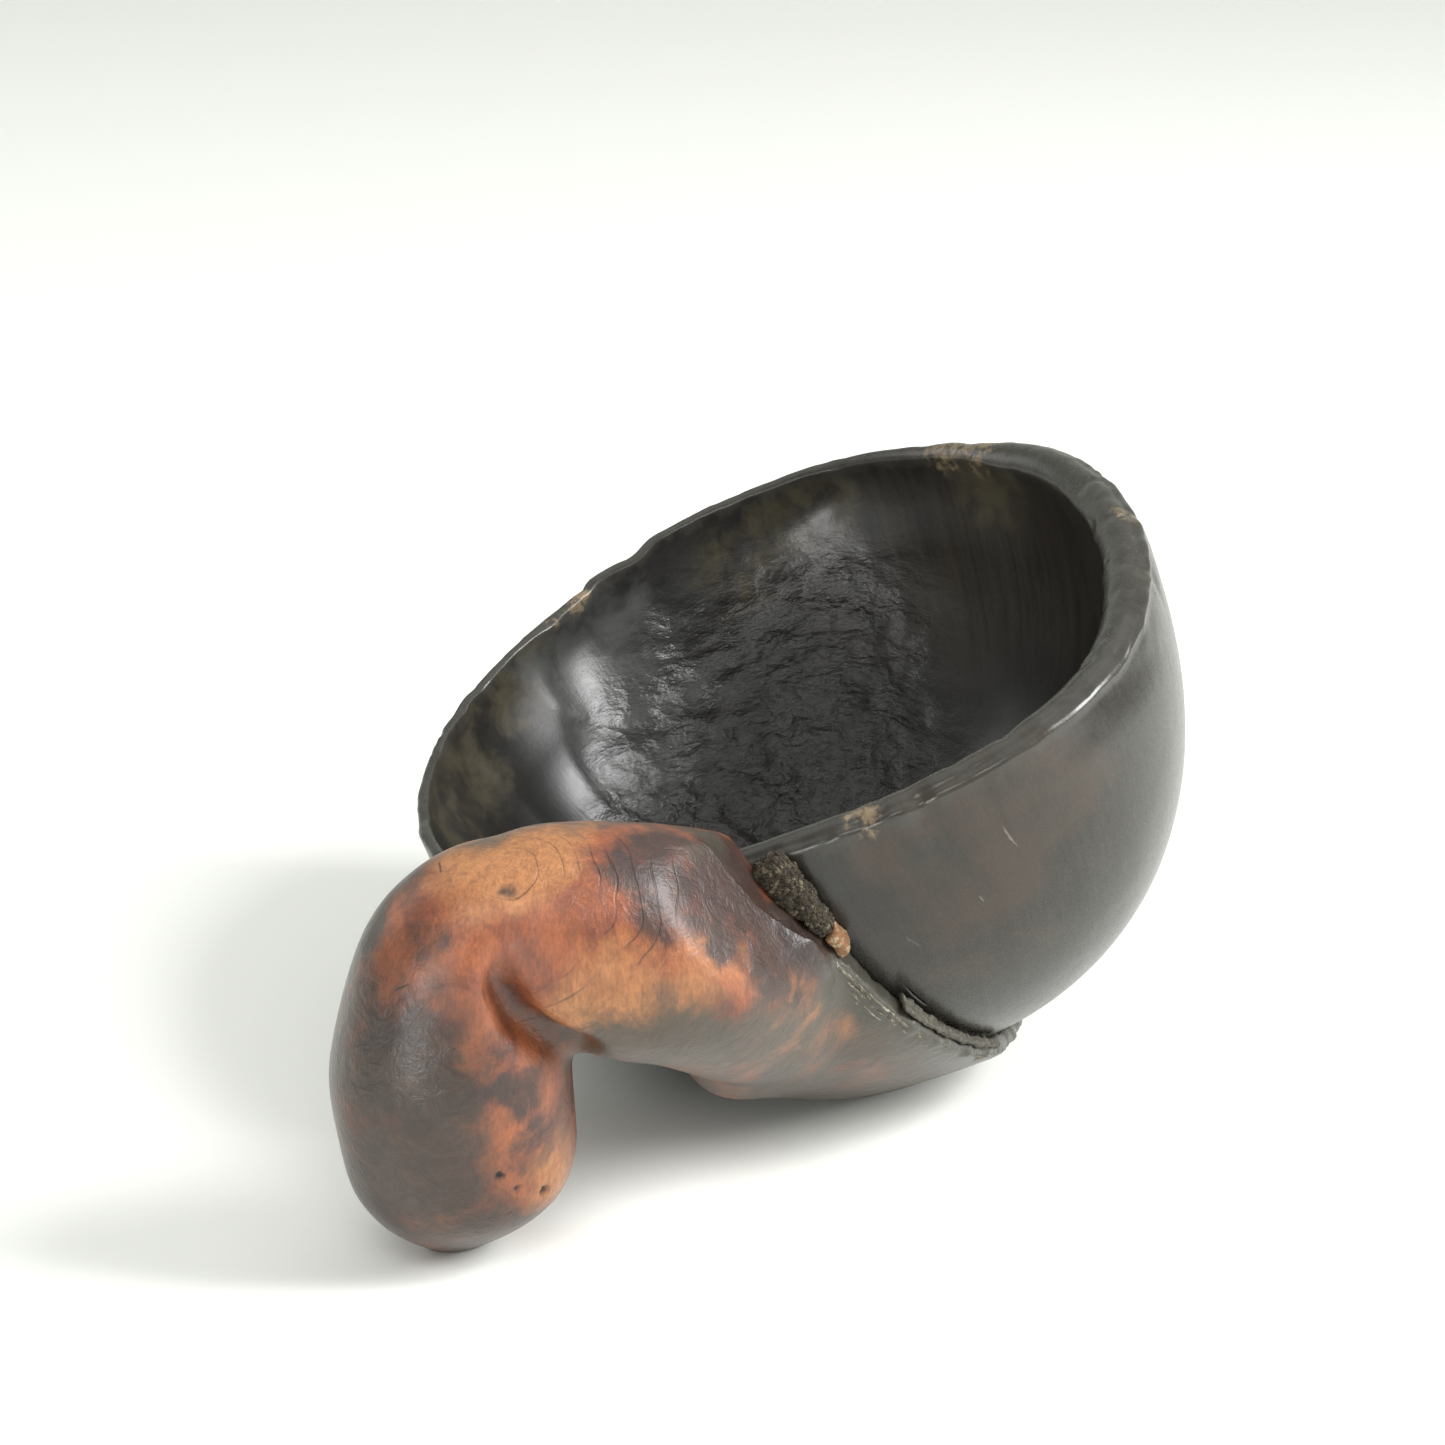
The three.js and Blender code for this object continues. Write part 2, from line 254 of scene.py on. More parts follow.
# ---------------------------------------------------------------- the bowl's wall
@dataclass(frozen=True)
class Wall:
    """The rule that the bowl's wall follows, in millimetres and degrees about its mouth."""

    mouth_height: float = 87.7
    lean_side: float = 22.0
    lean_front: float = 8.3
    depth: float = 89.0
    belly: float = 3.0
    floor: float = 13.0
    radii: tuple[float, ...] = (80, 85, 91, 87, 86.5, 85, 81, 88)
    rim_heights: tuple[float, ...] = (0, 0.6, 1.4, 0.6, 0, 0, 0, 0)
    walls: tuple[float, ...] = (10, 9, 6.5, 5.5, 5.5, 7, 8.5, 9.5)
    seam_start: float = -91.0
    seam_slant: float = 0.25
    middle: tuple[float, float] = (0.0, 0.0)
    thin_lip: float = 140.0
    thin_reach: float = 105.0
    thin_share: float = 0.5

    @staticmethod
    def round_the_mouth(values: tuple[float, ...], degrees: Array) -> Array:
        """A smooth closed curve through values spread evenly round a full turn."""
        count = len(values)
        place = np.mod(degrees, 360) * count / 360
        start = np.floor(place).astype(int)
        t = place - start
        a, b, c, d = (np.array(values, float)[(start + k) % count] for k in (-1, 0, 1, 2))
        slope, bend = (c - a) * t, (2 * a - 5 * b + 4 * c - d) * t**2
        return 0.5 * (2 * b + slope + bend + (3 * b - a - 3 * c + d) * t**3)

    def turn(self) -> Array:
        """The rotation from the mouth's own frame to the object's."""
        x, y = math.radians(self.lean_front), math.radians(-self.lean_side)
        tip = np.array([[1, 0, 0], [0, math.cos(x), -math.sin(x)], [0, math.sin(x), math.cos(x)]])
        lean = np.array([[math.cos(y), 0, math.sin(y)], [0, 1, 0], [-math.sin(y), 0, math.cos(y)]])
        return tip @ lean

    def origin(self) -> Array:
        """The middle of the mouth."""
        return np.array([*self.middle, self.mouth_height])

    def point(self, around: Array, below: Array, through: Array, lift: Array = 0.0) -> Array:
        """Places on the wall.

        Args:
            around: degrees round the mouth from its high side.
            below: degrees below the mouth plane.
            through: 0 on the outside and 1 on the inside.
            lift: extra distance outwards.

        Returns:
            Points in millimetres, in the last axis.
        """
        around, below, through, lift = np.broadcast_arrays(around, below, through, lift)
        angle, side = np.radians(below), np.radians(around)
        radius = self.round_the_mouth(self.radii, around) + lift
        radius = radius - self.thickness(around, below) * through
        out = radius * np.cos(angle) + self.belly * np.sin(2 * np.maximum(angle, 0))
        rise = self.round_the_mouth(self.rim_heights, around) * np.cos(angle) ** 6
        down = (self.depth - self.floor * through + lift) * np.sin(angle)
        local = np.stack([out * np.cos(side), out * np.sin(side), rise - down], axis=-1)
        placed = local @ self.turn().T + self.origin()
        placed[..., 2] = np.maximum(placed[..., 2], 0)
        return placed

    def thickness(self, around: Array, below: Array) -> Array:
        """How thick the wall is: the far lip is worn thin, and thickens a little way down."""
        swing = np.abs(turned_from(around, self.thin_lip))
        worn = smooth(self.thin_reach, self.thin_reach - 45, swing) * smooth(17, 0, below)
        return self.round_the_mouth(self.walls, around) * (1 - self.thin_share * worn)

    def seam_axes(self) -> tuple[Array, Array, Array]:
        """Directions in the mouth's frame: to the top of the seam, across it and down it."""
        start = math.radians(self.seam_start)
        top = np.array([math.cos(start), math.sin(start), 0])
        across = np.array([-top[1], top[0], self.seam_slant])
        across = across / np.linalg.norm(across)
        return top, across, np.cross(across, top)

    def seam_point(self, away: Array, down: Array, lift: Array) -> Array:
        """Places over the wall near the seam.

        Args:
            away: millimetres from the seam towards the handle.
            down: degrees down the seam.
            lift: millimetres out from the wall.

        Returns:
            Points in millimetres.
        """
        away, down, lift = np.broadcast_arrays(away, down, lift)
        top, across, fall = self.seam_axes()
        side, angle = (away / self.radii[6])[..., None], np.radians(down)[..., None]
        aim = top * np.cos(angle) * np.cos(side) + fall * np.sin(angle) * np.cos(side)
        aim = aim - across * np.sin(side)
        around = np.degrees(np.arctan2(aim[..., 1], aim[..., 0]))
        below = -np.degrees(np.arcsin(np.clip(aim[..., 2], -1, 1)))
        return self.point(around, below, 0.0, lift)

    def seam_place(self, points: Array) -> tuple[Array, Array, Array]:
        """The reverse of seam_point.

        Args:
            points: places in millimetres, as rows.

        Returns:
            For each one: millimetres away from the seam, degrees down it, and lift off the wall.
        """
        local = (points - self.origin()) @ self.turn()
        out, drop = np.hypot(local[:, 0], local[:, 1]), -local[:, 2]
        around = np.degrees(np.arctan2(local[:, 1], local[:, 0]))
        radius = self.round_the_mouth(self.radii, around)
        angle, lift = np.arctan2(drop, out), np.zeros(len(points))
        for _ in range(12):
            flat = out - self.belly * np.sin(2 * np.maximum(angle, 0))
            wide, tall = radius + lift, self.depth + lift
            angle = np.arctan2(drop / tall, flat / wide)
            lift = (flat - radius * np.cos(angle)) * np.cos(angle)
            lift += (drop - self.depth * np.sin(angle)) * np.sin(angle)
        side = np.radians(around)
        aim = np.stack([np.cos(angle) * np.cos(side), np.cos(angle) * np.sin(side),
                        -np.sin(angle)], -1)
        top, across, fall = self.seam_axes()
        away = -np.arcsin(np.clip(aim @ across, -1, 1)) * self.radii[6]
        return away, np.degrees(np.arctan2(aim @ fall, aim @ top)), lift

    def seam_distance(self, points: Array) -> Array:
        """How far points are from the seam's plane, above 0 on the handle's side."""
        across = self.seam_axes()[1]
        return -(points - self.origin()) @ self.turn() @ across


# ---------------------------------------------------------------- node helpers
Value = bpy.types.NodeSocket | float | tuple


class Nodes:
    """Adds nodes to one tree and joins them."""

    def __init__(self, tree: bpy.types.NodeTree) -> None:
        """Starts on a tree."""
        self.tree = tree

    def add(self, kind: str, inputs: dict | None = None, **settings: object) -> bpy.types.Node:
        """Adds a node.

        Args:
            kind: the node's type name.
            inputs: values or sockets for its inputs, by name or number.
            settings: the node's own properties.

        Returns:
            The node.
        """
        node = self.tree.nodes.new(kind)
        for name, value in settings.items():
            setattr(node, name, value)
        for key, value in (inputs or {}).items():
            self.put(node.inputs[key], value)
        return node

    def put(self, socket: bpy.types.NodeSocket, value: Value) -> None:
        """Joins a socket to another, or sets its value."""
        if isinstance(value, bpy.types.NodeSocket):
            self.tree.links.new(value, socket)
        elif socket.type == "RGBA" and len(value) == 3:
            socket.default_value = (*value, 1.0)
        else:
            socket.default_value = value

    def math(self, operation: str, a: Value, b: Value = 0.0) -> bpy.types.NodeSocket:
        """Works out one sum."""
        return self.add("ShaderNodeMath", {0: a, 1: b}, operation=operation).outputs[0]

    def vector(self, operation: str, a: Value, b: Value = (0, 0, 0)) -> bpy.types.NodeSocket:
        """Works out one sum with vectors."""
        node = self.add("ShaderNodeVectorMath", {0: a, 1: b}, operation=operation)
        single = operation in ("LENGTH", "DISTANCE", "DOT_PRODUCT")
        return node.outputs["Value" if single else "Vector"]

    def share(self, value: Value, start: Value, end: Value) -> bpy.types.NodeSocket:
        """Goes smoothly from 0 where value is start to 1 where it is end."""
        inputs = {"Value": value, "From Min": start, "From Max": end}
        kind = "ShaderNodeMapRange"
        return self.add(kind, inputs, interpolation_type="SMOOTHSTEP").outputs["Result"]

    def noise(self, at: Value, scale: Value, detail: float = 4.0, rough: float = 0.55,
              warp: float = 0.0) -> bpy.types.NodeSocket:
        """A noise between 0 and 1."""
        inputs = {"Vector": at, "Scale": scale, "Detail": detail, "Roughness": rough}
        inputs["Distortion"] = warp
        return self.add("ShaderNodeTexNoise", inputs).outputs["Fac"]

    def blend(self, share: Value, a: Value, b: Value, mode: str = "MIX") -> bpy.types.NodeSocket:
        """Mixes two colours: a where share is 0, b where it is 1."""
        node = self.add("ShaderNodeMix", {0: share}, data_type="RGBA", blend_type=mode)
        self.put(node.inputs[6], a)
        self.put(node.inputs[7], b)
        return node.outputs[2]

    def tint(self, under: Value, share: Value, strength: float,
             over: Value) -> bpy.types.NodeSocket:
        """Lays a colour over another as far as share, times strength, says."""
        return self.blend(self.math("MULTIPLY", share, strength), under, over)

    def between(self, share: Value, a: Value, b: Value) -> bpy.types.NodeSocket:
        """Mixes two numbers."""
        return self.add("ShaderNodeMix", {0: share, 2: a, 3: b}).outputs[0]

    def layer(self, name: str) -> bpy.types.NodeSocket:
        """A number that was painted on the piece's vertices."""
        return self.add("ShaderNodeAttribute", attribute_name=name).outputs["Fac"]

    def here(self) -> bpy.types.NodeSocket:
        """The place on the piece, in metres."""
        return self.add("ShaderNodeTexCoord").outputs["Object"]

    def group(self, tree: bpy.types.NodeTree, inputs: dict) -> bpy.types.Node:
        """Places a shared effect."""
        node = self.tree.nodes.new("ShaderNodeGroup")
        node.node_tree = tree
        for key, value in inputs.items():
            self.put(node.inputs[key], value)
        return node


def new_tree(name: str, inputs: dict[str, str], outputs: dict[str, str],
             kind: str = "ShaderNodeTree") -> tuple:
    """Starts a shader group or a geometry tree.

    Args:
        name: the tree's name.
        inputs: socket kinds by name.
        outputs: socket kinds by name.
        kind: the tree's type name.

    Returns:
        The tree, a Nodes helper on it, its input node and its output node.
    """
    tree = bpy.data.node_groups.new(name, kind)
    for way, sockets in (("INPUT", inputs), ("OUTPUT", outputs)):
        for label, holds in sockets.items():
            tree.interface.new_socket(name=label, in_out=way, socket_type="NodeSocket" + holds)
    n = Nodes(tree)
    return tree, n, n.add("NodeGroupInput"), n.add("NodeGroupOutput")


class Effects:
    """The effects that several finishes share."""

    def __init__(self) -> None:
        """Builds each group once."""
        self.wear = self._wear()
        self.grain = self._grain()
        self.dust = self._dust()
        self.mark = self._mark()

    def worn(self, n: Nodes, at: Value, mask: Value, scale: float,
             softness: float) -> bpy.types.NodeSocket:
        """A painted mask, broken up into worn patches."""
        inputs = {"Vector": at, "Mask": mask, "Scale": scale, "Softness": softness}
        return n.group(self.wear, inputs).outputs["Mask"]

    def fibres(self, n: Nodes, at: Value, stretch: Point, scale: float,
               contrast: float) -> bpy.types.Node:
        """Wood fibres, with the outputs Streak and Height."""
        inputs = {"Vector": at, "Stretch": stretch, "Scale": scale, "Contrast": contrast}
        return n.group(self.grain, inputs)

    def specks(self, n: Nodes, at: Value, scale: float, size: float,
               few: float) -> bpy.types.NodeSocket:
        """Scattered pale specks."""
        inputs = {"Vector": at, "Scale": scale, "Size": size, "Few": few}
        return n.group(self.dust, inputs).outputs["Mask"]

    @staticmethod
    def _wear() -> bpy.types.NodeTree:
        """A painted mask, broken up as if rubbed away in patches."""
        tree, n, into, out = new_tree(
            "worn patches",
            {"Vector": "Vector", "Mask": "Float", "Scale": "Float", "Softness": "Float"},
            {"Mask": "Float"},
        )
        ragged = n.noise(into.outputs["Vector"], into.outputs["Scale"], 6.0, 0.62, 0.4)
        edge = n.math("SUBTRACT", 1.0, into.outputs["Mask"])
        low = n.math("SUBTRACT", edge, into.outputs["Softness"])
        high = n.math("ADD", edge, into.outputs["Softness"])
        stretched = n.share(ragged, 0.28, 0.72)
        present = n.share(into.outputs["Mask"], 0.0, 0.3)
        n.put(out.inputs["Mask"], n.math("MULTIPLY", present, n.share(stretched, low, high)))
        return tree

    @staticmethod
    def _grain() -> bpy.types.NodeTree:
        """Fibres that run along one way: fine streaks, and their height."""
        tree, n, into, out = new_tree(
            "wood fibres",
            {"Vector": "Vector", "Stretch": "Vector", "Scale": "Float", "Contrast": "Float"},
            {"Streak": "Float", "Height": "Float"},
        )
        at = n.vector("MULTIPLY", into.outputs["Vector"], into.outputs["Stretch"])
        coarse = n.noise(at, into.outputs["Scale"], 5.0, 0.6, 0.6)
        fine_scale = n.math("MULTIPLY", into.outputs["Scale"], 3.7)
        fine = n.noise(at, fine_scale, 3.0, 0.65, 0.2)
        both = n.between(0.55, coarse, fine)
        wide = n.math("MULTIPLY", into.outputs["Contrast"], 0.5)
        low, high = n.math("SUBTRACT", 0.5, wide), n.math("ADD", 0.5, wide)
        n.put(out.inputs["Streak"], n.share(both, low, high))
        n.put(out.inputs["Height"], both)
        return tree

    @staticmethod
    def _dust() -> bpy.types.NodeTree:
        """Tiny pale specks, few and scattered."""
        tree, n, into, out = new_tree(
            "dust specks",
            {"Vector": "Vector", "Scale": "Float", "Size": "Float", "Few": "Float"},
            {"Mask": "Float"},
        )
        cells = n.add("ShaderNodeTexVoronoi", {"Vector": into.outputs["Vector"]})
        n.put(cells.inputs["Scale"], into.outputs["Scale"])
        picked = n.add("ShaderNodeSeparateColor", {0: cells.outputs["Color"]}).outputs[0]
        chosen = n.math("GREATER_THAN", picked, into.outputs["Few"])
        dot = n.share(cells.outputs["Distance"], into.outputs["Size"], 0.0)
        n.put(out.inputs["Mask"], n.math("MULTIPLY", chosen, dot))
        return tree

    @staticmethod
    def _mark() -> bpy.types.NodeTree:
        """A thin wavering line between two places, such as a scratch or a crack."""
        tree, n, into, out = new_tree(
            "thin mark",
            {"Vector": "Vector", "Start": "Vector", "End": "Vector", "Width": "Float",
             "Waver": "Float"},
            {"Mask": "Float"},
        )
        shake = n.add("ShaderNodeTexNoise", {"Vector": into.outputs["Vector"], "Scale": 260.0,
                                             "Detail": 3.0}).outputs["Color"]
        shake = n.vector("SUBTRACT", shake, (0.5, 0.5, 0.5))
        scale = n.add("ShaderNodeVectorMath", {0: shake, "Scale": into.outputs["Waver"]},
                      operation="SCALE").outputs["Vector"]
        at = n.vector("ADD", into.outputs["Vector"], scale)
        along = n.vector("SUBTRACT", into.outputs["End"], into.outputs["Start"])
        reach = n.vector("SUBTRACT", at, into.outputs["Start"])
        square = n.vector("DOT_PRODUCT", along, along)
        part = n.math("DIVIDE", n.vector("DOT_PRODUCT", reach, along), square)
        held = n.math("MINIMUM", n.math("MAXIMUM", part, 0.0), 1.0)
        foot = n.add("ShaderNodeVectorMath", {0: along, "Scale": held}, operation="SCALE")
        gap = n.vector("DISTANCE", reach, foot.outputs["Vector"])
        middle = n.math("ABSOLUTE", n.math("SUBTRACT", part, 0.5))
        taper = n.between(n.share(middle, 0.2, 0.6), 1.0, 0.25)
        width = n.math("MULTIPLY", into.outputs["Width"], taper)
        n.put(out.inputs["Mask"], n.share(gap, width, 0.0))
        return tree


@dataclass(frozen=True)
class Mark:
    """A scratch or crack, in millimetres."""

    start: Point
    end: Point
    width: float = 0.35
    waver: float = 1.2

    def mask(self, n: Nodes, effects: Effects, at: bpy.types.NodeSocket) -> bpy.types.NodeSocket:
        """Places the mark in a material."""
        inputs = {"Vector": at, "Width": self.width * MM, "Waver": self.waver * MM}
        inputs["Start"] = tuple(c * MM for c in self.start)
        inputs["End"] = tuple(c * MM for c in self.end)
        return n.group(effects.mark, inputs).outputs["Mask"]


def all_marks(n: Nodes, effects: Effects, at: bpy.types.NodeSocket,
              marks: tuple[Mark, ...]) -> bpy.types.NodeSocket:
    """The darkest of several marks at each place."""
    total = marks[0].mask(n, effects, at)
    for mark in marks[1:]:
        total = n.math("MAXIMUM", total, mark.mask(n, effects, at))
    return total


def new_material(name: str) -> tuple[bpy.types.Material, Nodes, bpy.types.Node]:
    """An empty material, its node helper and its principled shader."""
    material = bpy.data.materials.new(name)
    material.use_nodes = True
    material.node_tree.nodes.clear()
    n = Nodes(material.node_tree)
    shader = n.add("ShaderNodeBsdfPrincipled")
    n.add("ShaderNodeOutputMaterial", {"Surface": shader.outputs[0]})
    return material, n, shader


def bumped(n: Nodes, height: Value, distance: float, strength: float = 1.0,
           under: bpy.types.NodeSocket | None = None) -> bpy.types.NodeSocket:
    """A bump of a real depth in millimetres, on top of another one."""
    inputs = {"Height": height, "Distance": distance * MM, "Strength": strength}
    node = n.add("ShaderNodeBump", inputs)
    if under is not None:
        n.put(node.inputs["Normal"], under)
    return node.outputs["Normal"]


# ---------------------------------------------------------------- finishes
@dataclass(frozen=True)
class BowlFinish:
    """Near-black oiled wood, torn inside, with olive and red-brown wear."""

    name: str = "bowl wood"
    heart: Colour = (0.021, 0.020, 0.018)
    char: Colour = (0.008, 0.008, 0.008)
    olive: Colour = (0.072, 0.062, 0.038)
    # Light grey for a painted highlight on the gouged inner wall.
    highlight_patch: Colour = (0.085, 0.085, 0.08)
    outside: Colour = (0.019, 0.017, 0.013)
    mottle: Colour = (0.050, 0.033, 0.022)
    rim: Colour = (0.040, 0.038, 0.031)
    tan: Colour = (0.20, 0.15, 0.09)
    scratches: tuple[Mark, ...] = (
        Mark((23, 97, 104), (33, 92, 103), 0.3),
        Mark((33, 92, 103), (43, 86, 101), 0.3),
        Mark((28, -61, 72), (34, -58, 62), 0.35),
        Mark((39, -58, 67), (42, -57, 64), 0.3),
        Mark((44, -59, 82), (48, -57, 76), 0.35),
        Mark((26, -58, 57), (31, -56, 52), 0.35),
    )
    grooves: tuple[Mark, ...] = (
        Mark((-34, 91, 82), (-16, 93, 57), 0.55, 0.8),
        Mark((-31, 92, 83), (-14, 95, 60), 0.4, 0.8),
        Mark((-11, 101, 88), (-4, 101, 75), 0.5, 2.0),
        Mark((-8, 101, 89), (-1, 101, 77), 0.4, 2.0),
        Mark((-2, 102, 94), (6, 102, 84), 0.5, 2.0),
        Mark((1, 102, 95), (9, 102, 86), 0.4, 2.0),
    )
    cracks: tuple[Mark, ...] = (
        Mark((26, -52, 44), (33, -45, 34), 0.45, 0.5),
        Mark((70, 22, 117), (81, 20, 119), 0.4, 1.6),
        Mark((82, 2, 108), (83, -2, 102), 0.4, 1.0),
    )

    def make(self, effects: Effects) -> bpy.types.Material:
        """Builds the material."""
        material, n, shader = new_material(self.name)
        at = n.here()
        wall = n.add("ShaderNodeUVMap", uv_map="wall").outputs[0]
        inside, rim = n.layer("inside"), n.layer("rim")
        torn = n.math("MULTIPLY", n.layer("torn"), inside)
        highlight_patch = n.layer("highlight_patch")

        streaks = effects.fibres(n, wall, (1.0, 0.12, 1.0), 330.0, 0.5)
        chatter = effects.fibres(n, wall, (0.28, 1.0, 1.0), 520.0, 0.32)
        cloud = n.noise(at, 32.0, 5.0, 0.6, 0.5)
        fine = n.noise(at, 900.0, 3.0, 0.7)
        ripple = effects.fibres(n, at, (0.45, 0.45, 1.0), 150.0, 0.3)

        dark = n.blend(n.share(cloud, 0.35, 0.7), self.char, self.heart)
        dark = n.blend(n.math("MULTIPLY", ripple.outputs["Streak"], torn), dark,
                       (0.034, 0.032, 0.029))
        warm = effects.fibres(n, wall, (1.0, 0.07, 1.0), 120.0, 0.35)
        streaked = n.math("MULTIPLY", warm.outputs["Streak"], n.layer("streaked"))
        dark = n.tint(dark, streaked, 0.6, (0.048, 0.038, 0.026))
        olive = effects.worn(n, at, n.layer("olive"), 130.0, 0.6)
        dark = n.tint(dark, olive, 0.75, self.olive)
        # Painted highlight: the gouged inner wall is lightened where the key light's reflection
        # falls.
        broken_highlight = effects.worn(n, wall, highlight_patch, 95.0, 0.6)
        dark = n.tint(dark, broken_highlight, 0.6, self.highlight_patch)

        outer = n.blend(n.share(streaks.outputs["Streak"], 0.2, 0.9), self.outside,
                        (0.026, 0.025, 0.021))
        mottle = effects.worn(n, at, n.layer("mottle"), 60.0, 0.6)
        outer = n.tint(outer, mottle, 0.7, self.mottle)
        colour = n.blend(inside, outer, dark)

        rub = effects.worn(n, at, rim, 210.0, 0.5)
        colour = n.tint(colour, rub, 0.7, self.rim)
        tan = effects.worn(n, at, n.layer("tan"), 420.0, 0.4)
        colour = n.blend(tan, colour, self.tan)
        scratch = all_marks(n, effects, at, self.scratches)
        groove = all_marks(n, effects, at, self.grooves)
        crack = all_marks(n, effects, at, self.cracks)
        colour = n.tint(colour, scratch, 0.6, (0.24, 0.22, 0.18))
        colour = n.tint(colour, groove, 0.5, (0.22, 0.19, 0.13))
        colour = n.blend(crack, colour, (0.004, 0.004, 0.004))
        dust = effects.specks(n, at, 420.0, 0.15, 0.996)
        colour = n.tint(colour, dust, 0.6, (0.5, 0.5, 0.47))
        n.put(shader.inputs["Base Color"], colour)

        rough = n.between(inside, 0.27, 0.31)
        rough = n.between(n.math("MULTIPLY", torn, 0.9), rough, 0.21)
        rough = n.between(n.math("MULTIPLY", rim, 0.5), rough, 0.26)
        rough = n.math("ADD", rough, n.math("MULTIPLY", n.math("SUBTRACT", fine, 0.5), 0.1))
        n.put(shader.inputs["Roughness"], rough)

        squashed = n.vector("MULTIPLY", at, (0.62, 0.62, 1.0))
        chips = n.math("SUBTRACT", n.noise(squashed, 150.0, 2.5, 0.5, 0.3), 0.5)
        chips = n.math("ABSOLUTE", chips)
        torn_height = n.math("MULTIPLY", torn, ripple.outputs["Height"])
        normal = bumped(n, torn_height, 1.6)
        normal = bumped(n, n.math("MULTIPLY", torn, chips), 2.6, 1.0, normal)
        cut_height = n.math("MULTIPLY", torn, chatter.outputs["Height"])
        normal = bumped(n, cut_height, 0.5, 1.0, normal)
        smoothness = n.math("MULTIPLY", streaks.outputs["Height"], 0.12)
        normal = bumped(n, smoothness, 0.35, 1.0, normal)
        normal = bumped(n, fine, 0.02, 1.0, normal)
        cut = n.math("MAXIMUM", crack, n.math("MULTIPLY", groove, 0.5))
        cut = n.math("MAXIMUM", cut, n.math("MULTIPLY", scratch, 0.2))
        normal = bumped(n, n.math("SUBTRACT", 1.0, cut), 0.5, 1.0, normal)
        n.put(shader.inputs["Normal"], normal)
        return material


